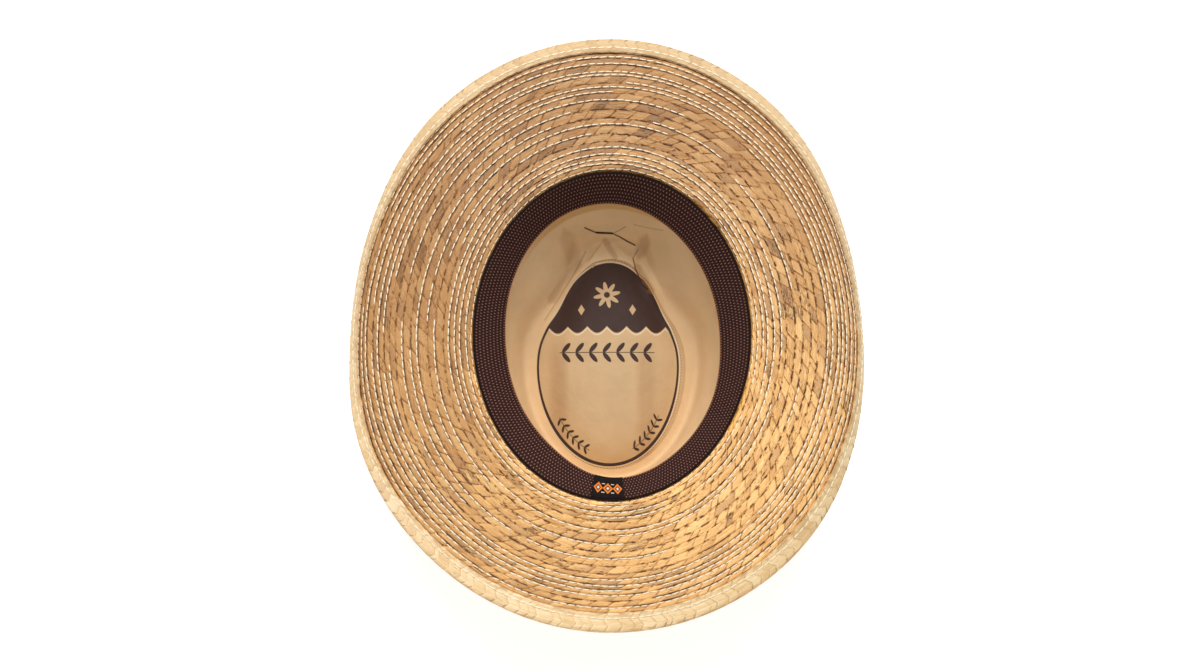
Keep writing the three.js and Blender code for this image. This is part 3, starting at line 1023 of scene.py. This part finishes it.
class FEDORA_OT_brim(bpy.types.Operator):
    """Builds the brim's lapped rows of braid and their stitches"""

    bl_idname = "fedora.brim"
    bl_label = "Build Brim"

    def execute(self, context):
        braid = context.scene.fedora_braid
        rows = braid.brim_rows
        generator = np.random.default_rng(BRIM_SEED)
        phases = [generator.uniform(0, TURN, STRAY_WAVES) for _ in range(rows + 1)]
        widths = generator.uniform(*ROW_WIDTHS, rows)
        widths[:NEAR_ROWS] = generator.uniform(*NEAR_WIDTHS, NEAR_ROWS)
        widths[-FAR_ROWS:] = generator.uniform(*FAR_WIDTHS, FAR_ROWS)
        reached = np.concatenate([[0], np.cumsum(widths)]) / widths.sum()
        shares = generator.uniform(*ROW_OPEN, rows + 1)
        shares[1 : NEAR_ROWS + 1] = generator.uniform(*NEAR_OPEN, NEAR_ROWS)
        shares[-FAR_ROWS:] = generator.uniform(*FAR_OPEN, FAR_ROWS)
        shares[[0, rows]] = (0.0, 1.0)

        def line(row):
            def run(angle):
                inside = 0.0 if row in (0, rows) else 1.0
                reach = brim_length(angle, round_brim("edge", angle) - EDGE_OVERLAP) + BRIM_TUCK
                return -BRIM_TUCK + reach * reached[row] + strayed(angle, phases[row], BRIM_STRAY) * inside

            return run

        skin = Skin()
        stitches = Skin()
        form = stitch_form(braid.stitch_length / MM, STITCH_WIDTH, STITCH_HEIGHT)
        opened = [stretches(generator, share) for share in shares]
        pitch = braid.stitch_pitch / MM
        cell_length = braid.cell_length / MM
        for row in range(rows):
            start, stop = line(row), line(row + 1)
            lines = (start, stop, opened[row], opened[row + 1])
            braid_row(skin, brim_surface, lines, cell_length, ROW_SECTION, slanted, 0.0, generator)
            sewn = beside_line(start, STITCH_INSET)
            stitch_line(stitches, brim_surface, sewn, STITCH_LIFT, opened[row], pitch, form, generator)
            under = beside_line(stop, UNDER_INSET)
            stitch_line(stitches, brim_surface, under, UNDER_LIFT, opened[row], pitch, form, generator, -1.0)
        palm = palm_material("palm", braid, BRIM_PATCHES, BRIM_DARKS, BRIM_TINTS_AND_LIGHT)
        piece = skin.make("palm_brim", palm)
        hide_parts("brim")
        sewing = stitches.make("brim_stitches", thread_material("thread", braid.thread, braid.light), 80)
        return {"FINISHED"}


class FEDORA_OT_crown(bpy.types.Operator):
    """Builds the crown's lapped rows of braid and their stitches"""

    bl_idname = "fedora.crown"
    bl_label = "Build Crown"

    def execute(self, context):
        braid = context.scene.fedora_braid
        generator = np.random.default_rng(CROWN_SEED)
        rows = round((CROWN_LENGTH + CROWN_TUCK) / (braid.row_pitch / MM))
        pitch = (CROWN_LENGTH + CROWN_TUCK) / rows
        phases = [generator.uniform(0, TURN, STRAY_WAVES) for _ in range(rows + 1)]

        def line(row):
            def run(angle):
                inside = 0.0 if row == 0 or row > rows - EVEN_ROWS else 1.0
                return -CROWN_TUCK + pitch * row + strayed(angle, phases[row], CROWN_STRAY) * inside

            return run

        skin = Skin()
        stitches = Skin()
        form = stitch_form(braid.stitch_length / MM, STITCH_WIDTH, STITCH_HEIGHT)
        opened = [stretches(generator, share) for share in generator.uniform(*CROWN_OPEN, rows + 1)]
        stitch = braid.stitch_pitch / MM
        cell_length = braid.cell_length / MM
        for row in range(rows):
            start, stop = line(row), line(row + 1)
            lines = (start, stop, opened[row], opened[row + 1])
            braid_row(
                skin, crown_surface, lines, cell_length, ROW_SECTION, slanted, -BRAID / 2, generator, way=-1.0
            )
            if row < rows - BARE_ROWS:
                sewn = beside_line(start, STITCH_INSET)
                lift = STITCH_LIFT - BRAID / 2
                stitch_line(stitches, crown_surface, sewn, lift, opened[row], stitch, form, generator)
        piece = skin.make("palm_crown", bpy.data.materials["palm"])
        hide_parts("crown")
        sewing = stitches.make("crown_stitches", bpy.data.materials["thread"], 80)
        return {"FINISHED"}


# Section of the edge row. across: share from its inner to its outer side, lift: height
EDGE_SECTION = np.array(
    [
        (0.0, 1.3, 1.3),
        (0.02, 2.5, 2.5),
        (0.16, 2.65, 2.65),
        (0.29, 2.3, 2.3),
        (0.33, 2.35, 2.35),
        (0.5, 2.45, 2.45),
        (0.66, 2.1, 2.1),
        (0.69, 2.1, 2.1),
        (0.84, 2.0, 2.0),
        (0.985, 1.3, 1.3),
        (1.0, 0.5, 0.5),
        (0.98, -0.5, -0.5),
        (0.68, 0.2, 0.2),
        (0.5, 1.1, 1.1),
    ],
    dtype=SECTION_POINT,
)


def edge_start(angle):
    """Inner side of the edge row."""
    return brim_length(angle, round_brim("edge", angle))


def edge_seam(angle):
    """Line of the edge row's sewing."""
    return edge_start(angle) + EDGE_SEAM * round_brim("edge", angle)


def always_open(angle):
    """Sewing that lies open all round."""
    return 1.0 + 0.0 * angle


def zigzag(across):
    """Slant of the edge row's cells, which turns back at each third."""
    third = across * 3
    return EDGE_SLANT * np.abs((third + 1) % 2 - 1)


class FEDORA_OT_edge(bpy.types.Operator):
    """Builds the light row at the brim's edge"""

    bl_idname = "fedora.edge"
    bl_label = "Build Edge Row"

    def execute(self, context):
        edge = context.scene.fedora_edge
        braid = context.scene.fedora_braid
        generator = np.random.default_rng(EDGE_SEED)
        lines = (edge_start, brim_length, always_open, always_open)
        skin = Skin()
        braid_row(skin, brim_surface, lines, edge.cell_length / MM, EDGE_SECTION, zigzag, 0.0, generator)
        palm = palm_material("light_palm", edge, EDGE_PATCHES, EDGE_DARKS, EDGE_TINTS_AND_LIGHT)
        piece = skin.make("edge_row", palm)
        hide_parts("edge_braid")
        stitches = Skin()
        form = stitch_form(braid.stitch_length / MM, STITCH_WIDTH, STITCH_HEIGHT)
        pitch = braid.stitch_pitch / MM
        stitch_line(stitches, brim_surface, edge_seam, EDGE_STITCH_LIFT, always_open, pitch, form, generator)
        sewing = stitches.make("edge_stitches", bpy.data.materials["thread"], 80)
        return {"FINISHED"}


def ribbon_material(band):
    """Dark ribbon with rows of light picks."""
    graph = Graph("ribbon", {"Roughness": 0.85, "Specular IOR Level": 0.12})
    share, dot = graph.parts(graph.painted("cell"))[:2]
    flow = graph.painted("flow")
    ends = share.least(1 - share).eased(0.0, 0.05)
    grain = graph.noise(flow, 1.4, 2.0)
    light = dot.eased(0.6, 0.98) * (grain * 0.5 + 0.65) * ends
    colour = graph.mix(light, band.ribbon, band.pick)
    colour = graph.mix((1 - ends) * 0.8, colour, RIBBON_END)
    graph.bump(grain, 0.4, 0.0004)
    return graph.finish(colour)


class FEDORA_OT_sweatband(bpy.types.Operator):
    """Builds the woven sweatband and the thread at its free edge"""

    bl_idname = "fedora.sweatband"
    bl_label = "Build Sweatband"

    def execute(self, context):
        band = context.scene.fedora_band
        about = TURN * math.sqrt((HALF_WIDE**2 + HALF_LONG**2) / 2) * BAND_ROUND
        dots = round(about / (band.dot_pitch / MM))
        columns = dots * DOT_STEPS
        angle = np.arange(columns) / columns * TURN
        shares = np.linspace(0, 1, band.ribs * RIB_STEPS + 1)
        rib = np.arange(len(shares)) // RIB_STEPS
        inside = (np.arange(len(shares)) % RIB_STEPS) / RIB_STEPS
        hump = np.sin(np.pi * inside)
        beat = (np.arange(columns)[:, None] + 2 * (rib % 2)[None, :]) % DOT_STEPS
        pick = np.choose(beat, [1.0, 0.5, 0.0, 0.5]) * (hump > 0.8)[None, :]
        lift = RIBBON - RIB_SUNK + RIB_HUMP * hump[None, :] + PICK_LIFT * pick
        face = band_at(angle[:, None] + 0 * lift, shares[None, :] + 0 * lift, lift)
        ends = np.array([[1.0, 0.0]]) + 0 * angle[:, None]
        back = band_at(angle[:, None] + 0 * ends, ends, 0 * ends)
        points = np.concatenate([face, back], axis=1)
        section = points.shape[1]
        values = np.concatenate([pick, np.zeros((columns, 2))], axis=1)
        spread = np.concatenate([shares, [1.0, 0.0]])
        painted = np.stack([np.broadcast_to(spread, values.shape), values, 0 * values], axis=-1)
        faces = ring_faces(columns, section)
        ring = np.stack([BAND_REACH * np.cos(angle), BAND_REACH * np.sin(angle), 0 * angle], axis=-1)
        inward = np.stack([0 * spread, 0 * spread, spread * BAND_SLANT], axis=-1)
        flow = ring[:, None, :] + inward[None, :, :]
        skin = Skin()
        skin.add(points.reshape(-1, 3), faces, painted.reshape(-1, 3)[faces], flow=flow.reshape(-1, 3))
        piece = skin.make("woven_sweatband", ribbon_material(band), 70)
        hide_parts("sweatband")
        binding = Skin()
        side = (np.arange(BINDING_SIDES) / BINDING_SIDES * TURN)[None, :]
        turned = (np.arange(BINDING_STEPS) / BINDING_STEPS * TURN)[:, None] + 0 * side
        edge = 1.0 + BINDING_SHARE * np.cos(side) + 0 * turned
        inset = RIBBON / 2 + BINDING_HALF * np.sin(side) + 0 * turned
        tube = band_at(turned, edge, inset)
        binding.add(tube.reshape(-1, 3), ring_faces(BINDING_STEPS, BINDING_SIDES)[:, ::-1])
        graph = Graph("edge_thread", {"Roughness": 0.6})
        trim = binding.make("band_edge_thread", graph.finish(tuple(band.binding)), 80)
        return {"FINISHED"}


def label_material(band):
    """Black woven label with a row of orange diamonds between light bars."""
    graph = Graph("label_weave", {"Roughness": 0.8, "Specular IOR Level": 0.12})
    x, y = graph.parts(graph.painted("cell"))[:2]
    wide = abs(x)
    tall = abs(y - LABEL_MOTIF_Y + x * 0.07)
    middle = wide / 3.3 + tall / 7.0
    beside = abs(wide - 6.3) / 3.0 + tall / 7.0
    diamond = middle.least(beside)
    outline = diamond.eased(0.54, 0.6) * (1 - diamond.eased(0.98, 1.04))
    core = 1 - diamond.eased(0.3, 0.36)
    bars = (1 - abs(tall - 5.6).eased(0.4, 0.7)) * (1 - abs(wide - 3.05).eased(0.9, 1.1))
    colour = graph.mix(outline, band.label, LABEL_DIAMOND)
    colour = graph.mix(core.most(bars), colour, LABEL_BAR)
    rows = (y * 9.0).sine() * 0.5 + 0.5
    picks = (x * 9.0).sine() * 0.5 + 0.5
    graph.bump(rows * 0.6 + picks * 0.4, 0.5, 0.0003)
    return graph.finish(colour)


class FEDORA_OT_label(bpy.types.Operator):
    """Builds the folded label over the sweatband's joint"""

    bl_idname = "fedora.label"
    bl_label = "Build Label"

    def execute(self, context):
        band = context.scene.fedora_band
        across = LABEL_STEPS_ACROSS
        down = LABEL_STEPS_DOWN
        columns = np.linspace(-1, 1, across + 1)
        rows = np.linspace(LABEL_FROM, LABEL_TO, down + 1)
        angle = np.radians(LABEL_MIDDLE + LABEL_HALF * columns)[:, None] + 0 * rows[None, :]
        share = rows[None, :] + 0 * angle
        upright = 2 * (share - LABEL_FROM) / (LABEL_TO - LABEL_FROM) - 1
        rim = np.maximum(np.abs(columns)[:, None], np.abs(upright))
        puff = LABEL_PUFF * np.sqrt(np.clip(1 - rim**8, 0, 1))
        front = band_at(angle, share, RIBBON + GAP + LABEL_THICK - LABEL_PUFF + puff)
        back = band_at(angle, share, RIBBON + GAP + 0 * share)
        points = np.concatenate([front.reshape(-1, 3), back.reshape(-1, 3)])
        layer = (across + 1) * (down + 1)

        def at(side, c, r):
            return side * layer + c * (down + 1) + r

        quads = []
        for c in range(across):
            for r in range(down):
                quads.append((at(0, c, r), at(0, c + 1, r), at(0, c + 1, r + 1), at(0, c, r + 1)))
                quads.append((at(1, c, r), at(1, c, r + 1), at(1, c + 1, r + 1), at(1, c + 1, r)))
        for c in range(across):
            quads.append((at(0, c, 0), at(1, c, 0), at(1, c + 1, 0), at(0, c + 1, 0)))
            quads.append((at(0, c, down), at(0, c + 1, down), at(1, c + 1, down), at(1, c, down)))
        for r in range(down):
            quads.append((at(0, 0, r), at(0, 0, r + 1), at(1, 0, r + 1), at(1, 0, r)))
            quads.append((at(0, across, r), at(1, across, r), at(1, across, r + 1), at(0, across, r + 1)))
        faces = np.array(quads)
        aside = columns[:, None] * LABEL_HALF_WIDE + 0 * share
        plan = np.stack([aside, (share - 0.5) * LABEL_DEEP, 0 * share], axis=-1)
        painted = np.concatenate([plan.reshape(-1, 3), plan.reshape(-1, 3)])
        skin = Skin()
        skin.add(points, faces, painted[faces])
        piece = skin.make("folded_label", label_material(band), 60)
        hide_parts("label")
        return {"FINISHED"}


def lining_at(angle, place):
    """Point of the lining's inner face before it is pulled taut."""
    step = 0.02
    down = crown_at(angle, place + step) - crown_at(angle, place - step)
    across = crown_at(angle + TWIST, place) - crown_at(angle - TWIST, place)
    normal = np.cross(down, across)
    normal /= np.maximum(np.linalg.norm(normal, axis=-1, keepdims=True), 1e-9)
    ahead = off_angle(angle, 90.0)
    lift = BRAID + CLOTH + through(CROWN["lift"], place)
    lift = lift + through(CROWN["fold"], place) * np.exp(-((ahead / FOLD_SPREAD) ** 2))
    return crown_at(angle, place) - normal * lift[..., None]


def grid_normals(grid):
    """Directions out of the hat on a grid that runs round it and inward."""
    normal = np.cross(np.gradient(grid, axis=1), np.roll(grid, -1, axis=0) - np.roll(grid, 1, axis=0))
    return normal / np.maximum(np.linalg.norm(normal, axis=-1, keepdims=True), 1e-9)


def pulled_taut(grid, hold, room):
    """The grid with its lines inward drawn straight, but never into the crown."""
    loose = grid.copy()
    for _ in range(TAUT_TURNS):
        inward = (np.roll(loose, 1, axis=1) + np.roll(loose, -1, axis=1)) / 2
        about = (np.roll(loose, 1, axis=0) + np.roll(loose, -1, axis=0)) / 2
        loose = loose + (inward * 0.8 + about * 0.2 - loose) * hold
    normal = grid_normals(grid)
    sunk = np.sum((loose - grid) * normal, axis=-1, keepdims=True)
    loose = loose - normal * np.maximum(sunk - room, 0)
    for _ in range(SOFT_TURNS):
        inward = (np.roll(loose, 1, axis=1) + np.roll(loose, -1, axis=1)) / 2
        loose = loose + (inward - loose) * hold
    return loose


def folded(grid):
    """The grid with its soft folds."""
    normal = grid_normals(grid)
    for fold in FOLDS:
        start = np.array([fold["x"], fold["y"]])
        way = np.array([fold["to_x"], fold["to_y"]]) - start
        length = np.hypot(*way)
        offset = grid[..., :2] - start
        share = (offset @ way) / length**2
        aside = np.abs(offset[..., 0] * way[1] - offset[..., 1] * way[0]) / length
        fade = smooth(share / 0.3 + 0.5) * smooth((1 - share) / 0.3 + 0.5)
        near = np.exp(-((aside / fold["width"]) ** 2)) * fade
        grid = grid - normal * (near * fold["depth"])[..., None]
    return grid


def lining_grid():
    """Inner face of the lining, and the angle of each of its columns."""
    side = np.linspace(LINING_FROM, LINING_SEAM, LINING_SIDE)
    tip = np.linspace(LINING_SEAM, LAST_PLACE, LINING_TIP)[1:]
    angle = np.arange(LINING_ROUND) / LINING_ROUND * TURN
    angles, places = np.meshgrid(angle, np.concatenate([side, tip]), indexing="ij")
    hold = smooth((places - TAUT_FROM) / 1.5) * smooth((LAST_PLACE - 1 - places) / 1.5)
    room = 0.6 * through(CROWN["lift"], places)
    grid = pulled_taut(lining_at(angles, places), hold[..., None] * 0.9, room[..., None])
    return folded(grid), angle


def cloth_skin(grid, painted):
    """Skin of a strip of the lining with its hidden outer face, and painted values."""
    outer = (grid + grid_normals(grid) * CLOTH)[:, ::-8]
    points = np.concatenate([grid, outer], axis=1)
    columns, rows = points.shape[:2]
    more = ((0, 0), (0, rows - grid.shape[1]), (0, 0))
    values = np.pad(painted, more).reshape(-1, 3)
    faces = ring_faces(columns, rows)[:, ::-1]
    skin = Skin()
    skin.add(points.reshape(-1, 3), faces, values[faces], flow=points.reshape(-1, 3))
    return skin


def leaves(along, across, pitch):
    """Spray of slanted leaves on both sides of a stem."""
    place = (along / pitch).fraction() * pitch - pitch * 0.5
    away = abs(across) - pitch * 0.36
    turned = place * 0.64 + away * 0.77
    aside = away * 0.64 - place * 0.77
    leaf = 1 - ((turned / (pitch * 0.46)) ** 2.0 + (aside / (pitch * 0.17)) ** 2.0).eased(0.8, 1.1)
    stem = 1 - abs(across).eased(0.12, 0.4)
    return leaf.most(stem)


def painted_shade_along(lines, x, y):
    """How dark the painted shade lies beside the lines of a table."""
    dark = 0.0
    for crease in lines:
        start = np.array([crease["x"], crease["y"]])
        way = np.array([crease["to_x"], crease["to_y"]]) - start
        length = math.hypot(*way)
        step = way / length
        along = (x - float(start[0])) * float(step[0]) + (y - float(start[1])) * float(step[1])
        aside = abs((x - float(start[0])) * float(step[1]) - (y - float(start[1])) * float(step[0]))
        past = (abs(along - length / 2) - length / 2).most(0.0)
        width = float(crease["width"])
        line = (1 - (aside + past).eased(0.3 * width, width)) * float(crease["dark"])
        dark = line.most(dark)
    return dark


def satin_print(graph, lining, colour, flow):
    """Printed border, dark field with a flower, and leaf sprays, with painted shade in the tip's hollows and
    a painted highlight along the seam's ridge.
    """
    x, y = graph.parts(flow)[:2]
    arc, inset = graph.parts(graph.painted("cell"))[:2]
    back = (y * -1).eased(20.0, 75.0)
    border = 1 - abs(inset - BORDER_INSET).eased(back * 0.5 + 0.7, back * 0.5 + 1.0)
    aside = x - TIP_X
    scallop = abs((aside * (math.pi / SCALLOP)).sine()) * SCALLOP_DEEP
    depth = y - FIELD_Y + scallop
    inside = (inset - BORDER_INSET).eased(0.0, 0.3)
    field = depth.eased(-0.3, 0.3) * inside
    high = y - FLOWER_Y
    reach = (aside * aside + high * high) ** 0.5
    turned = x.math("ARCTAN2", high, aside)
    petals = 1 - (reach - 6.6 - (turned * 8.0).sine() * 2.4).eased(-0.3, 0.3)
    eye = 1 - (reach - 2.0).eased(-0.3, 0.3)
    diamond = 1 - (abs(abs(aside) - DIAMOND_X) / 2.4 + abs(y - DIAMOND_Y) / 3.8).eased(0.85, 1.05)
    field = field * (1 - petals.most(diamond)) + eye
    middle = leaves(aside + MIDDLE_START, y + MIDDLE_DOWN, MIDDLE_PITCH)
    middle = middle * (1 - abs(aside).eased(31.4, 31.6))
    middle = middle * (1 - abs(y + MIDDLE_DOWN).eased(8.5, 9.0))
    ends = abs(arc).eased(17.9, 18.1) * (1 - abs(arc).eased(53.9, 54.1))
    beside = inset - SPRAY_INSET
    around = leaves(arc + SPRAY_START, beside, SPRAY_PITCH) * ends * (1 - abs(beside).eased(5.4, 5.8))
    ink = border.most(field).most(middle).most(around)
    # Painted highlight along the seam's ridge, outside the border
    ridge_highlight = (1 - abs(inset - BORDER_INSET + 1.7).eased(0.3, 0.7)) * 0.6
    # Painted shade in the tip's hollows, at its left and right towards the back
    hollow_shade = (1 - abs(abs(aside + 3.0) - 29.0).eased(2.0, 9.0)) * (1 - (y + 12.0).eased(0.0, 25.0))
    colour = graph.mix(hollow_shade * 0.3, colour, SATIN_HOLLOW_SHADE)
    trim = (1 - abs(depth + 1.2).eased(0.2, 0.6)) * inside * 0.5
    # Light colour for the painted highlight and for the print's light line along the dark field
    colour = graph.mix(ridge_highlight.most(trim), colour, SATIN_TRIM_AND_HIGHLIGHT)
    return graph.mix(ink, colour, lining.print_colour), inset, arc


def satin_material(name, lining, base, printed):
    """Tan satin, with a printed ornament on the tip, and painted shade low down the side, beside the folds
    and creases, and where the sweatband's shadow falls at the front.
    """
    graph = Graph(name, {"Roughness": 0.6, "Specular IOR Level": 0.2})
    flow = graph.painted("flow")
    x, y, z = graph.parts(flow)
    weave = graph.noise(flow, 1.6, 3.0)
    cloud = graph.noise(flow, 0.05, 2.0)
    deeper = tuple(0.8 * c for c in base)
    colour = graph.mix(cloud.eased(0.35, 0.7) * 0.35, tuple(base), deeper)
    colour = graph.mix(weave.eased(0.4, 0.7) * 0.12, colour, deeper)
    # Painted shade on the side, darker low down in the crown except at the front
    deep = 1 - z.eased(6.0, 34.0)
    if not printed:
        colour = graph.mix(deep * (1 - y.eased(30.0, 50.0)) * 0.45, colour, SATIN_DEEP_SHADE)
    wrinkles = graph.noise(flow, 0.13, 4.0)
    height = weave + wrinkles * 5.0
    if printed:
        colour, inset, arc = satin_print(graph, lining, colour, flow)
        ridge = 1 - abs(inset - 2.2).eased(0.2, 1.1)
        sewn = (1 - abs(inset - 0.9).eased(0.15, 0.45)) * (arc / 2.1 + 100.0).fraction().eased(0.5, 0.6)
        colour = graph.mix(sewn * 0.5, colour, lining.print_colour)
        height = weave * 0.4 + ridge * 2.0 + wrinkles * 5.0
    # Painted shadow of the sweatband on the lining's front
    rim = ((x / BAND_SHADOW_HALF) ** 2.0 + (y / BAND_SHADOW_FRONT) ** 2.0) ** 0.5
    band_shadow = rim.eased(0.95, 0.96) * (1 - x.eased(16.0, 56.0))
    band_shadow = band_shadow * (1 - (x * -1).eased(40.0, 64.0)) * y.eased(20.0, 40.0)
    colour = graph.mix(band_shadow * 0.8, colour, SATIN_BAND_SHADOW)
    # Painted soft shade beside the folds
    colour = graph.mix(painted_shade_along(SHADES, x, y), colour, SATIN_SHADE)
    # Painted shade of the creases, as dark lines
    colour = graph.mix(painted_shade_along(CREASE_SHADES, x, y), colour, SATIN_CREASE_SHADE)
    graph.bump(height, 0.3, 0.0006)
    return graph.finish(colour)


class FEDORA_OT_lining(bpy.types.Operator):
    """Builds the satin lining's side and tip"""

    bl_idname = "fedora.lining"
    bl_label = "Build Lining"

    def execute(self, context):
        lining = context.scene.fedora_lining
        grid, angle = lining_grid()
        side = cloth_skin(grid[:, :LINING_SIDE], 0 * grid[:, :LINING_SIDE])
        # The side takes the lighter side colour: painted light on the same satin as the tip
        piece = side.make("satin_side", satin_material("satin", lining, lining.side, False), 60)
        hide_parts("lining_wall")
        inner = grid[:, LINING_SIDE - 1 :].copy()
        inner[:, 0] += (inner[:, 1] - inner[:, 0]) * 0.2
        inner[:, -1] = inner[:, -1].mean(axis=0)
        steps = np.linalg.norm(np.diff(inner, axis=1), axis=-1).cumsum(axis=1)
        inset = np.pad(steps, ((0, 0), (1, 0))) + TIP_SHIFT * np.cos(angle)[:, None]
        around = np.linalg.norm(inner[:, 0] - np.roll(inner[:, 0], 1, axis=0), axis=-1).cumsum()
        arc = (around - around[round(LINING_ROUND * 0.75)])[:, None] + 0 * inset
        arc = (arc + around[-1] / 2) % around[-1] - around[-1] / 2
        painted = np.stack([arc, inset, 0 * inset], axis=-1)
        tip = cloth_skin(inner, painted)
        piece = tip.make("satin_tip", satin_material("printed_satin", lining, lining.satin, True), 60)
        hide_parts("lining_tip")
        return {"FINISHED"}


def area_light(name, place, aim, size, power):
    """Adds a square soft light that faces a point, in metres."""
    data = bpy.data.lights.new(name, "AREA")
    data.size = size
    data.energy = power
    light = bpy.data.objects.new(name, data)
    bpy.context.scene.collection.objects.link(light)
    light.location = place
    way = np.array(aim) - np.array(place)
    light.rotation_euler = (
        math.atan2(math.hypot(way[0], way[1]), -way[2]),
        0.0,
        math.atan2(-way[0], way[1]),
    )
    return light


class FEDORA_OT_stage(bpy.types.Operator):
    """Builds the floor, the lights and the camera"""

    bl_idname = "fedora.stage"
    bl_label = "Build Stage"

    def execute(self, context):
        stage = context.scene.fedora_stage
        scene = context.scene
        mesh = bpy.data.meshes.new("floor")
        corners = [(x * FLOOR_HALF, y * FLOOR_HALF, 0) for x, y in ((-1, -1), (1, -1), (1, 1), (-1, 1))]
        mesh.from_pydata(corners, [], [(0, 1, 2, 3)])
        glow = {"Emission Color": (1.0, 1.0, 1.0, 1.0), "Emission Strength": stage.floor_glow}
        graph = Graph("floor", {"Roughness": 0.8, "Specular IOR Level": 0.1, **glow})
        mesh.materials.append(graph.finish(FLOOR_COLOUR))
        floor = bpy.data.objects.new("floor", mesh)
        scene.collection.objects.link(floor)
        floor.location.z = -FLOOR_DROP
        middle = (HOLE_X * MM, HOLE_Y * MM, CROWN_HEIGHT * MM)
        area_light("key", KEY_PLACE, middle, KEY_SIZE, stage.key)
        world = bpy.data.worlds.new("studio")
        world.use_nodes = True
        background = world.node_tree.nodes["Background"]
        background.inputs["Color"].default_value = (1.0, 1.0, 1.0, 1.0)
        background.inputs["Strength"].default_value = stage.fill
        scene.world = world
        scene.view_settings.view_transform = "Standard"
        data = bpy.data.cameras.new("camera")
        data.sensor_width = SENSOR
        data.lens = FOCAL_PIXELS * SENSOR / PHOTO_WIDTH
        camera = bpy.data.objects.new("camera", data)
        tilt = math.radians(CAMERA_TILT)
        camera.location = (
            (HOLE_X + CAMERA_RIGHT) * MM,
            (HOLE_Y - CAMERA_DISTANCE * math.sin(tilt)) * MM,
            (CROWN_HEIGHT + CAMERA_DISTANCE * math.cos(tilt)) * MM,
        )
        camera.rotation_euler = (tilt, 0.0, 0.0)
        scene.collection.objects.link(camera)
        scene.camera = camera
        return {"FINISHED"}


class FEDORA_PT_panel(bpy.types.Panel):
    """Lists the fedora's settings and its build steps"""

    bl_idname = "FEDORA_PT_panel"
    bl_label = "Fedora"
    bl_space_type = "VIEW_3D"
    bl_region_type = "UI"
    bl_category = "Fedora"

    def draw(self, context):
        for group_name, operators in STEPS.items():
            box = self.layout.box()
            group = getattr(context.scene, group_name)
            for setting in group.__annotations__:
                box.prop(group, setting)
            for operator in operators:
                box.operator(operator.bl_idname)


GROUPS = {
    "fedora_braid": FedoraBraid,
    "fedora_edge": FedoraEdge,
    "fedora_band": FedoraBand,
    "fedora_lining": FedoraLining,
    "fedora_stage": FedoraStage,
}
STEPS = {
    "fedora_braid": (FEDORA_OT_brim, FEDORA_OT_crown),
    "fedora_edge": (FEDORA_OT_edge,),
    "fedora_band": (FEDORA_OT_sweatband, FEDORA_OT_label),
    "fedora_lining": (FEDORA_OT_lining,),
    "fedora_stage": (FEDORA_OT_stage,),
}
OPERATORS = [operator for operators in STEPS.values() for operator in operators]


def register():
    """Adds the classes and the scene's settings."""
    for item in (*GROUPS.values(), *OPERATORS, FEDORA_PT_panel):
        bpy.utils.register_class(item)
    for name, group in GROUPS.items():
        setattr(bpy.types.Scene, name, bpy.props.PointerProperty(type=group))


def unregister():
    """Takes them away again."""
    for name in GROUPS:
        delattr(bpy.types.Scene, name)
    for item in reversed((*GROUPS.values(), *OPERATORS, FEDORA_PT_panel)):
        bpy.utils.unregister_class(item)


def main():
    """Builds the stage and the hat."""
    register()
    bpy.ops.fedora.stage()
    bpy.ops.fedora.brim()
    bpy.ops.fedora.crown()
    bpy.ops.fedora.edge()
    bpy.ops.fedora.sweatband()
    bpy.ops.fedora.label()
    bpy.ops.fedora.lining()


if __name__ == "__main__":
    main()
